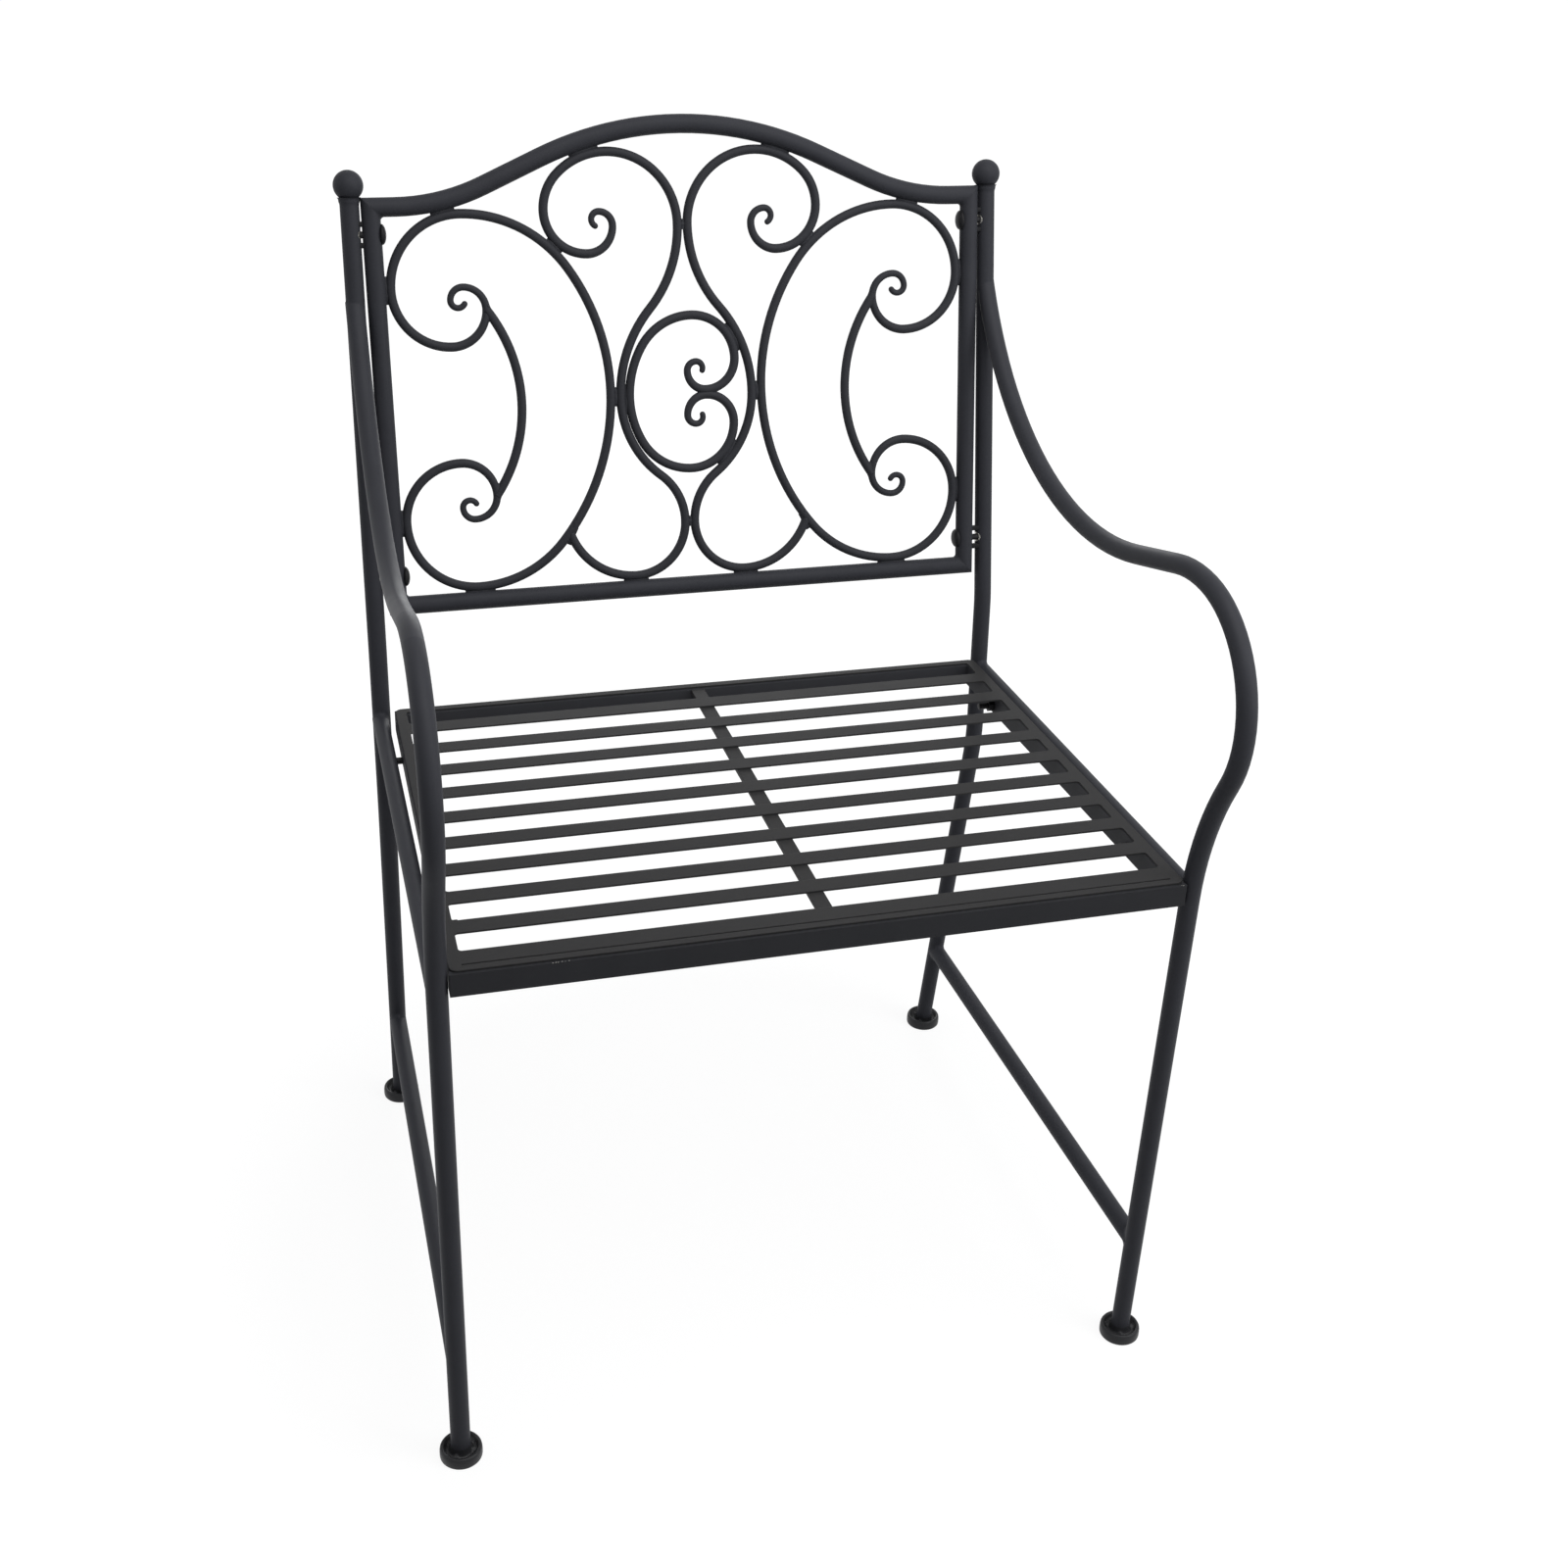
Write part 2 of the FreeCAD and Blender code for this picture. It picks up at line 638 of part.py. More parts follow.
def rod_along(pieces, taper_start, taper_end):
    """Scroll rod; the given numbers of pieces at its two ends taper to a round tip."""
    radius = ROD / 2
    tip = ROD_TIP / 2
    last = len(pieces) - taper_end
    faces = rod_skin(flat_wire(pieces[taper_start:last], panel_at), radius, radius)
    for count, tail in ((taper_start, backwards(pieces[:taper_start])), (taper_end, pieces[last:])):
        if count:
            wire = flat_wire(tail, panel_at)
            faces += rod_skin(wire, radius, tip) + round_cap(wire, tip)
    if not taper_start:
        faces += flat_cap(flat_wire(backwards(pieces), panel_at), radius)
    if not taper_end:
        faces += flat_cap(flat_wire(pieces, panel_at), radius)
    skin = Part.makeCompound(faces)
    skin.sewShape()
    return Part.Solid(skin.Shells[0])


def bead(pieces_a, pieces_b, solids):
    """Weld between two touching rods or tubes: a small block trimmed by both."""
    wire_a = flat_wire(pieces_a, panel_at)
    wire_b = flat_wire(pieces_b, panel_at)
    point_a, point_b = wire_a.distToShape(wire_b)[1][0]
    across = point_b - point_a
    block = Part.makeBox(BEAD_WIDTH, BEAD_LENGTH, across.Length,
                         Vector(-BEAD_WIDTH / 2, -BEAD_LENGTH / 2, 0))
    normal = panel_normal()
    along = across.cross(normal)
    block.Placement = Placement(point_a, Rotation(normal, along, across, "ZXY"))
    for solid in solids:
        block = block.cut(solid)
    return one_solid(block)


def back_frame():
    """Top rail, two stiles and bottom rail, mitred at the corners."""
    top = TOP_RAIL.pieces
    corner_top = (STILE_HALF_WIDTH, STILE_HEIGHT)
    corner_bottom = (STILE_HALF_WIDTH, 0.0)
    over = TUBE
    long_top = backwards(sideways(top)) + top
    long_top[0] = stretched_start(long_top[0], over)
    long_top[-1] = stretched_end(long_top[-1], over)
    stile = [run_between((STILE_HALF_WIDTH, -over), (STILE_HALF_WIDTH, STILE_HEIGHT + over))]
    bottom = [run_between((-STILE_HALF_WIDTH - over, 0.0), (STILE_HALF_WIDTH + over, 0.0))]
    top_tube = tube_along(flat_wire(long_top, panel_at), TUBE)[1]
    stile_tube = tube_along(flat_wire(stile, panel_at), TUBE)[1]
    bottom_tube = tube_along(flat_wire(bottom, panel_at), TUBE)[1]
    top_wedge = corner_wedge(corner_top, -1)
    bottom_wedge = corner_wedge(corner_bottom, 1)
    stile_tube = one_solid(stile_tube.common(stile_side(corner_top, corner_bottom)))
    for wedge in (top_wedge, mirrored(top_wedge)):
        top_tube = top_tube.cut(wedge)
    for wedge in (bottom_wedge, mirrored(bottom_wedge)):
        bottom_tube = bottom_tube.cut(wedge)
    return one_solid(top_tube), stile_tube, one_solid(bottom_tube)


def run_between(start, end):
    middle = ((start[0] + end[0]) / 2, (start[1] + end[1]) / 2)
    return ("run", start, middle, end)


def stretched_end(piece, length):
    return run_between(piece[1], (piece[3][0] + length, piece[3][1]))


def stretched_start(piece, length):
    return run_between((piece[1][0] - length, piece[1][1]), piece[3])


def flat_prism(points):
    """Prism square to the panel through its whole depth, over a flat outline."""
    corners = [panel_at(point) - panel_normal() * WEDGE_REACH for point in points]
    face = Part.Face(Part.makePolygon(corners + [corners[0]]))
    return face.extrude(panel_normal() * 2 * WEDGE_REACH)


def corner_wedge(corner, upward):
    """Everything outside the 45 degree mitre of a right-hand corner."""
    x, y = corner
    size = WEDGE_REACH
    inner = (x - size, y + upward * size)
    outer = (x + size, y - upward * size)
    return flat_prism([inner, outer, (x + size, y + upward * size)])


def stile_side(top, bottom):
    """The region of the right-hand stile between its two mitres."""
    size = WEDGE_REACH
    points = [
        (top[0] - size, top[1] - size),
        (top[0] + size, top[1] + size),
        (bottom[0] + size, bottom[1] - size),
        (bottom[0] - size, bottom[1] + size),
    ]
    return flat_prism(points)


def build_back():
    top_tube, stile_tube, bottom_tube = back_frame()
    c_scroll = rod_along(C_PIECES, C_TAPER_COUNT, C_TAPER_COUNT)
    s_scroll = one_solid(rod_along(S_PIECES, S_TAPER_COUNT, 0).cut(c_scroll))
    bow = one_solid(rod_along(BOW_PIECES, 0, 0).cut(c_scroll))
    NODES["back_top_rail"] = top_tube
    NODES["back_bottom_rail"] = bottom_tube
    add_pair("c_scroll", c_scroll)
    add_pair("s_scroll", s_scroll)
    add_pair("bow_bar", bow)
    NODES["centre_scroll"] = rod_along(MIDDLE_PIECES, MIDDLE_TAPER_COUNT, MIDDLE_TAPER_COUNT)
    waist_bead = bead(C_PIECES, S_UPPER.pieces[:1] + S_LOWER.pieces[:1], [c_scroll, s_scroll])
    beads = [waist_bead, mirrored(waist_bead)]
    for neck in (S_UPPER.pieces[1:3], S_LOWER.pieces[1:3]):
        beads.append(bead(neck, sideways(neck), [s_scroll, mirrored(s_scroll)]))
    NODES["scroll_weld_beads"] = Part.makeCompound(beads)
    return stile_tube


# Bolted joints between the back panel and the posts

def back_bolt_levels():
    return [STILE_HEIGHT - BACK_BOLT_TOP_OFFSET, BACK_BOLT_BOTTOM_OFFSET]


def post_half_width(up):
    """Half width of the rear post's axis beside a level of the panel."""
    point = panel_at((0.0, up))
    return REAR_AT((upper_post_y(point.z), point.z)).x


def dome_head(diameter, height):
    """Low round head, flat side down at the origin, dome upward."""
    radius = diameter / 2
    dome_radius = (radius ** 2 + height ** 2) / (2 * height)
    dome = Part.makeSphere(dome_radius, Vector(0, 0, height - dome_radius))
    return dome.common(Part.makeCylinder(radius, height))


def spacer_slot(up, post_x):
    """Opening in the front half of a spacer, through which its bolt shows."""
    half = SPACER_SLOT / 2
    points = [(STILE_HALF_WIDTH, up - half), (post_x, up - half), (post_x, up + half),
              (STILE_HALF_WIDTH, up + half)]
    corners = [panel_at(point) for point in points]
    face = Part.Face(Part.makePolygon(corners + [corners[0]]))
    return face.extrude(-panel_normal() * SPACER_DIAMETER)


def back_bolt_set(up, post_outer, post_tube, stile_outer):
    """Bolt, saddle spacer and threaded insert on the right, and the two holes' cutters."""
    axis = Vector(1, 0, 0)
    head_seat = panel_at((STILE_HALF_WIDTH - TUBE / 2, up))
    post_x = post_half_width(up)
    post_face = panel_at((post_x - TUBE / 2, up))
    shank_end = panel_at((post_x + INSERT_TAIL, up))
    shank = cylinder_between(head_seat, shank_end, BOLT / 2)
    head = dome_head(BACK_BOLT_HEAD, BACK_BOLT_HEAD_HEIGHT)
    head.Placement = Placement(head_seat, Rotation(Vector(0, 0, 1), -axis))
    bolt = head.fuse(shank).removeSplitter()

    stile_axis = panel_at((STILE_HALF_WIDTH, up))
    spacer = cylinder_between(stile_axis, panel_at((post_x, up)), SPACER_DIAMETER / 2)
    clearance_hole = cylinder_between(head_seat - axis * TUBE, post_face + axis * TUBE / 2,
                                      (BOLT + HOLE_CLEARANCE) / 2)
    slot = spacer_slot(up, post_x)
    spacer = spacer.cut(stile_outer).cut(post_outer).cut(clearance_hole).cut(slot)

    body = cylinder_between(post_face, shank_end, INSERT_DIAMETER / 2)
    collar_start = post_face + axis * TUBE_WALL
    collar = cylinder_between(collar_start, collar_start + axis * INSERT_COLLAR_LENGTH, INSERT_COLLAR / 2)
    past = axis * CUT_PAST
    thread_hole = cylinder_between(post_face - past, shank_end + past, BOLT / 2 + SLIP)
    stile_hole = cylinder_between(head_seat - past, head_seat + axis * TUBE + past,
                                  (BOLT + HOLE_CLEARANCE) / 2)
    post_hole = cylinder_between(post_face - past, panel_at((post_x, up)), INSERT_DIAMETER / 2)
    post_tube = post_tube.cut(post_hole)
    insert = body.fuse(collar).common(post_outer).cut(thread_hole).cut(post_tube)
    return bolt, one_solid(spacer), one_solid(insert), stile_hole, post_tube


def build_back_joints(stile_tube, post_outer, post_tube):
    stile_line = [run_between((STILE_HALF_WIDTH, 0.0), (STILE_HALF_WIDTH, STILE_HEIGHT))]
    stile_outer = bar_along(flat_wire(stile_line, panel_at), TUBE / 2)
    bolts, spacers, inserts = [], [], []
    for up in back_bolt_levels():
        bolt, spacer, insert, stile_hole, post_tube = back_bolt_set(up, post_outer, post_tube, stile_outer)
        stile_tube = stile_tube.cut(stile_hole)
        bolts += [bolt, mirrored(bolt)]
        spacers += [spacer, mirrored(spacer)]
        inserts += [insert, mirrored(insert)]
    NODES["back_bolts"] = Part.makeCompound(bolts)
    NODES["back_spacers"] = Part.makeCompound(spacers)
    NODES["back_threaded_inserts"] = Part.makeCompound(inserts)
    add_pair("back_stile", one_solid(stile_tube))
    return post_tube


# Seat: four mitred rectangular tubes, a slotted sheet on top and a flat bar down the middle

def rail_point(y, inward):
    """Point on the axis level of the right seat rail, moved in from its axis."""
    rear, front = seat_rail_ends()
    share = (y - rear.y) / (front.y - rear.y)
    return Vector(rear.x + share * (front.x - rear.x) - inward, y, SEAT_RAIL_HEIGHT)


def seat_outline():
    """Corners of the tube frame, just inside the side rails, counter-clockwise."""
    front = rail_point(SEAT_FRONT_Y, RAIL_TUBE / 2 + SEAT_FRONT_GAP).x
    rear = rail_point(SEAT_REAR_Y, RAIL_TUBE / 2 + SEAT_REAR_GAP).x
    return [
        Vector(-front, SEAT_FRONT_Y, 0),
        Vector(front, SEAT_FRONT_Y, 0),
        Vector(rear, SEAT_REAR_Y, 0),
        Vector(-rear, SEAT_REAR_Y, 0),
    ]


def inset(corners, distances):
    """Quadrilateral with each edge moved inward by its own distance."""
    count = len(corners)
    lines = []
    for i, corner in enumerate(corners):
        along = (corners[(i + 1) % count] - corner).normalize()
        inward = Vector(-along.y, along.x, 0)
        lines.append((corner + inward * distances[i], along))
    result = []
    for i in range(count):
        point_a, along_a = lines[i - 1]
        point_b, along_b = lines[i]
        between = point_b - point_a
        share = (between.x * along_b.y - between.y * along_b.x) / (
            along_a.x * along_b.y - along_a.y * along_b.x)
        result.append(point_a + along_a * share)
    return result


def plate(corners, bottom, height):
    raised = [Vector(corner.x, corner.y, bottom) for corner in corners]
    face = Part.Face(Part.makePolygon(raised + [raised[0]]))
    return face.extrude(Vector(0, 0, height))


def seat_tube(side):
    """One tube of the seat frame, mitred at both ends."""
    outline = seat_outline()
    count = len(outline)
    following = (side + 1) % count
    bottom = SEAT_TOP_HEIGHT - SHEET_WALL - SEAT_TUBE_HEIGHT

    def bar(outer_inset, inner_inset, floor, height):
        outer = inset(outline, [outer_inset] * count)
        inner = inset(outline, [inner_inset] * count)
        corners = [outer[side], outer[following], inner[following], inner[side]]
        return plate(corners, floor, height)
    solid = bar(0.0, SEAT_TUBE_WIDTH, bottom, SEAT_TUBE_HEIGHT)
    hollow = bar(SEAT_TUBE_WALL, SEAT_TUBE_WIDTH - SEAT_TUBE_WALL, bottom + SEAT_TUBE_WALL,
                 SEAT_TUBE_HEIGHT - 2 * SEAT_TUBE_WALL)
    return solid.cut(hollow)


def rounded_box(start_x, end_x, start_y, end_y, bottom, height, radius):
    box = Part.makeBox(end_x - start_x, end_y - start_y, height, Vector(start_x, start_y, bottom))
    upright = [edge for edge in box.Edges if abs(edge.tangentAt(edge.FirstParameter).z) > 0.5]
    return box.makeFillet(radius, upright)


def slot_rows():
    """Front and rear edge of every slot, from the back of the seat to the front."""
    rear = SEAT_REAR_Y - REAR_SLOT_MARGIN
    return [(rear - row * SLOT_PITCH - SLOT_WIDTH, rear - row * SLOT_PITCH) for row in range(SLOT_COUNT)]


def seat_sheet():
    setbacks = [SHEET_FRONT_SETBACK, SHEET_SETBACK, 0.0, SHEET_SETBACK]
    corners = inset(seat_outline(), setbacks)
    bottom = SEAT_TOP_HEIGHT - SHEET_WALL
    sheet = plate(corners, bottom, SHEET_WALL)
    upright = [edge for edge in sheet.Edges if abs(edge.tangentAt(edge.FirstParameter).z) > 0.5]
    sheet = sheet.makeFillet(SHEET_CORNER_RADIUS, upright)
    front, rear = corners[1], corners[2]
    taper = (front.x - rear.x) / (front.y - rear.y)

    def slot_end(y):
        return rear.x + taper * (y - rear.y) - SLOT_END_MARGIN
    cuts = []
    for slot_front, slot_rear in slot_rows():
        end = slot_end(slot_front)
        cuts.append(rounded_box(-end, end, slot_front, slot_rear, bottom - SHEET_WALL,
                                3 * SHEET_WALL, SLOT_CORNER_RADIUS))
    groove_rear = slot_rows()[-1][0] - SLOT_WEB
    end = slot_end(groove_rear)
    cuts.append(Part.makeBox(2 * end, GROOVE_WIDTH, GROOVE_DEPTH,
                             Vector(-end, groove_rear - GROOVE_WIDTH, SEAT_TOP_HEIGHT - GROOVE_DEPTH)))
    return one_solid(sheet.cut(Part.makeCompound(cuts)))


def hex_nut(bore):
    """Nut standing on the origin, along +Z."""
    corner = NUT_WIDTH / 2 / cos(HEX_TURN / 2)
    turns = [HEX_TURN * k for k in range(HEX_SIDES + 1)]
    points = [Vector(corner * cos(turn), corner * sin(turn), 0) for turn in turns]
    nut = Part.Face(Part.makePolygon(points)).extrude(Vector(0, 0, NUT_HEIGHT))
    return nut.cut(Part.makeCylinder(bore / 2, NUT_HEIGHT))


def frame_inner_point(y):
    """Point on the inner face of the right-hand seat tube, level with the rail."""
    outline = seat_outline()
    front, rear = inset(outline, [SEAT_TUBE_WIDTH] * len(outline))[1:3]
    share = (y - rear.y) / (front.y - rear.y)
    return Vector(rear.x + share * (front.x - rear.x), y, SEAT_RAIL_HEIGHT)


def seat_stud_set(y, rail_outer, seat_side):
    """Stud welded to the rail, through both walls of the seat tube, with its nut inside."""
    direction = Vector(-1, 0, 0)
    tube_face = frame_inner_point(y)
    nut_end = tube_face + direction * (SLIP + NUT_HEIGHT)
    stud = cylinder_between(rail_point(y, 0.0), nut_end + direction * SEAT_STUD_TAIL, BOLT / 2)
    nut = hex_nut(BOLT + 2 * SLIP)
    nut.Placement = Placement(tube_face + direction * SLIP, Rotation(Vector(0, 0, 1), direction))
    hole = cylinder_between(rail_point(y, 0.0), nut_end, (BOLT + HOLE_CLEARANCE) / 2)
    return one_solid(stud.cut(rail_outer)), nut, seat_side.cut(hole)


def build_seat():
    seat_side = seat_tube(1)
    rail_outer = cylinder_between(*seat_rail_ends(), RAIL_TUBE / 2)
    studs, nuts = [], []
    for y in (SEAT_STUD_REAR_Y, SEAT_STUD_FRONT_Y):
        stud, nut, seat_side = seat_stud_set(y, rail_outer, seat_side)
        studs += [stud, mirrored(stud)]
        nuts += [nut, mirrored(nut)]
    add_pair("seat_side_tube", one_solid(seat_side))
    NODES["seat_front_tube"] = seat_tube(0)
    NODES["seat_rear_tube"] = seat_tube(2)
    NODES["seat_slat_panel"] = seat_sheet()
    bar_rear = SEAT_REAR_Y - SEAT_TUBE_WIDTH
    bar_front = SEAT_FRONT_Y + SEAT_TUBE_WIDTH
    bar_bottom = SEAT_TOP_HEIGHT - SHEET_WALL - CENTRE_BAR_HEIGHT
    NODES["seat_centre_bar"] = Part.makeBox(CENTRE_BAR_WIDTH, bar_rear - bar_front, CENTRE_BAR_HEIGHT,
                                            Vector(-CENTRE_BAR_WIDTH / 2, bar_front, bar_bottom))
    NODES["seat_studs"] = Part.makeCompound(studs)
    NODES["seat_nuts"] = Part.makeCompound(nuts)


def build():
    post_outer, post_tube, front_outer, front_leg, stretcher, rail = build_sides()
    stile_tube = build_back()
    post_tube = build_back_joints(stile_tube, post_outer, post_tube)
    add_pair("rear_post", one_solid(post_tube))
    add_pair("arm_and_front_leg", front_leg)
    add_pair("stretcher", stretcher)
    add_pair("seat_side_rail", rail)
    build_seat()
    add_pair("rear_foot", foot_for(REAR_AT, REAR_POST, post_outer))
    add_pair("front_foot", foot_for(FRONT_AT, ARM, front_outer))
    add_pair("ball_finial", ball_finial())


def centred(nodes):
    """Every node moved so that the origin is under the middle of the whole chair."""
    box = FreeCAD.BoundBox()
    for shape in nodes.values():
        box.add(shape.optimalBoundingBox(False))
    shift = Vector(-box.Center.x, -box.Center.y, -box.ZMin)
    for shape in nodes.values():
        shape.translate(shift)
    print("moved by", shift, "size", box.XLength, box.YLength, box.ZLength)


build()
centred(NODES)
os.makedirs("parts", exist_ok=True)
for name, shape in NODES.items():
    print(name, shape.isValid(), len(shape.Solids), round(shape.Volume, 1))
    shape.exportStep("parts/" + name + ".step")
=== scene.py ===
import math
import random

import bpy
from mathutils import Matrix, Vector
from mathutils.bvhtree import BVHTree


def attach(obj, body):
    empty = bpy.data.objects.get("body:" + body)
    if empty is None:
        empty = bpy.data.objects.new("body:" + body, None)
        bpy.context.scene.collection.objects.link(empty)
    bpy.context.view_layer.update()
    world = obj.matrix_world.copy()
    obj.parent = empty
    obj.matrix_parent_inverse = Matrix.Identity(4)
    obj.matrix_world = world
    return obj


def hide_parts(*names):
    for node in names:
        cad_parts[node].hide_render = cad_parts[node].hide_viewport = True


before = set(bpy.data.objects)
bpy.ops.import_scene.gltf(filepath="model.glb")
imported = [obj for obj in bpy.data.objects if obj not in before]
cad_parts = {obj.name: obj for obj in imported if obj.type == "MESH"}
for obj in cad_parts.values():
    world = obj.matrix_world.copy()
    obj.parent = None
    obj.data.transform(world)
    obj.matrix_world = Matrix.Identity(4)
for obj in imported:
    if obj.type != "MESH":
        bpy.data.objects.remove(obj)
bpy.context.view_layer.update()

# The camera stands to the left of the chair, a little above the arms, and looks down at it.
# Its place, turn and lens were worked out from the straight tubes of the photograph.
camera_place = Vector((-0.4088, -1.4088, 1.2346))
camera_yaw = math.radians(16.746)
camera_pitch = math.radians(26.726)
camera_roll = math.radians(2.160)
camera_forward = Vector((
    math.sin(camera_yaw) * math.cos(camera_pitch),
    math.cos(camera_yaw) * math.cos(camera_pitch),
    -math.sin(camera_pitch),
))
level_right = Vector((math.cos(camera_yaw), -math.sin(camera_yaw), 0.0))
level_up = level_right.cross(camera_forward)
camera_right = level_right * math.cos(camera_roll) + level_up * math.sin(camera_roll)
camera_up = level_up * math.cos(camera_roll) - level_right * math.sin(camera_roll)
camera_data = bpy.data.cameras.new("camera")
camera_data.sensor_width = 36.0
camera_data.lens = 44.84
camera_data.shift_x = 0.0110
camera_data.shift_y = -0.0212
camera_data.clip_start = 0.05
camera = bpy.data.objects.new("camera", camera_data)
bpy.context.scene.collection.objects.link(camera)
turn = Matrix((camera_right, camera_up, -camera_forward)).transposed().to_4x4()
camera.matrix_world = Matrix.Translation(camera_place) @ turn
bpy.context.scene.camera = camera
bpy.context.scene.view_settings.view_transform = "Standard"


# A white studio: a floor that shows white and keeps the chair's soft shadow, a white surround
# and four large soft lamps, the main ones above and to the right as in the photograph.
def node_tree(material):
    material.use_nodes = True
    tree = material.node_tree
    tree.nodes.clear()
    return tree


def add_node(tree, kind, links=(), **values):
    node = tree.nodes.new(kind)
    for name, value in values.items():
        if name.startswith("set_"):
            setattr(node, name[4:], value)
        else:
            node.inputs[name.replace("_", " ")].default_value = value
    for socket, source in dict(links).items():
        tree.links.new(source, node.inputs[socket])
    return node


def shown_rays(tree):
    """1 for rays of the camera and for mirrored or passed-through ones, which see the white."""
    path = add_node(tree, "ShaderNodeLightPath")
    mirrored = add_node(tree, "ShaderNodeMath", {0: path.outputs["Is Camera Ray"],
                                                 1: path.outputs["Is Glossy Ray"]},
                        set_operation="MAXIMUM")
    shown = add_node(tree, "ShaderNodeMath", {0: mirrored.outputs[0],
                                              1: path.outputs["Is Transmission Ray"]},
                     set_operation="MAXIMUM")
    return shown.outputs[0]


floor_size = 14.0
floor_mesh = bpy.data.meshes.new("studio_floor")
floor_mesh.from_pydata(
    [(-floor_size, -floor_size, 0), (floor_size, -floor_size, 0),
     (floor_size, floor_size, 0), (-floor_size, floor_size, 0)],
    [], [(0, 1, 2, 3)])
studio_floor = bpy.data.objects.new("studio_floor", floor_mesh)
bpy.context.scene.collection.objects.link(studio_floor)

floor_paint = bpy.data.materials.new("studio_floor_paint")
tree = node_tree(floor_paint)
place = add_node(tree, "ShaderNodeNewGeometry")
distance = add_node(tree, "ShaderNodeVectorMath", {0: place.outputs["Position"]},
                    set_operation="LENGTH")
white = add_node(tree, "ShaderNodeMapRange", {"Value": distance.outputs["Value"]},
                 From_Min=0.40, From_Max=0.85, To_Min=0.90, To_Max=1.0)
lift = add_node(tree, "ShaderNodeEmission", {"Strength": white.outputs[0]}, Color=(1, 1, 1, 1))
shadow_share = add_node(tree, "ShaderNodeBsdfDiffuse", Color=(0.16, 0.16, 0.16, 1))
shown_floor = add_node(tree, "ShaderNodeAddShader", {0: shadow_share.outputs[0],
                                                     1: lift.outputs[0]})
lit_floor = add_node(tree, "ShaderNodeBsdfDiffuse", Color=(0.4, 0.4, 0.4, 1))
floor_mix = add_node(tree, "ShaderNodeMixShader", {0: shown_rays(tree), 1: lit_floor.outputs[0],
                                                   2: shown_floor.outputs[0]})
add_node(tree, "ShaderNodeOutputMaterial", {0: floor_mix.outputs[0]})
floor_mesh.materials.append(floor_paint)

studio = bpy.data.worlds.new("studio")
bpy.context.scene.world = studio
tree = node_tree(studio)
surround = add_node(tree, "ShaderNodeBackground", Color=(0.92, 0.95, 1.0, 1), Strength=0.18)
backdrop = add_node(tree, "ShaderNodeBackground", Color=(1, 1, 1, 1), Strength=1.0)
surround_mix = add_node(tree, "ShaderNodeMixShader", {0: shown_rays(tree), 1: surround.outputs[0],
                                                      2: backdrop.outputs[0]})
add_node(tree, "ShaderNodeOutputWorld", {0: surround_mix.outputs[0]})

lamps = [
    ("lamp_above", (0.35, -0.7, 2.2), (0.0, 0.0, 0.6), 1.6, 24.0, (1.0, 0.99, 0.975)),
    ("lamp_right", (1.4, -1.1, 1.2), (0.2, 0.0, 0.6), 1.1, 12.0, (0.98, 0.99, 1.0)),
    ("lamp_left", (-2.8, 0.9, 1.1), (0.0, 0.0, 0.5), 1.8, 10.0, (0.96, 0.98, 1.0)),
    ("lamp_behind", (0.7, 2.9, 0.8), (0.0, 0.1, 0.5), 1.5, 18.0, (0.98, 0.99, 1.0)),
]
for name, place, target, size, power, tint in lamps:
    lamp = bpy.data.lights.new(name, "AREA")
    lamp.size = size
    lamp.energy = power
    lamp.color = tint
    lamp_object = bpy.data.objects.new(name, lamp)
    bpy.context.scene.collection.objects.link(lamp_object)
    lamp_object.location = place
    aim = Vector(target) - Vector(place)
    lamp_object.rotation_euler = aim.to_track_quat("-Z", "Y").to_euler()


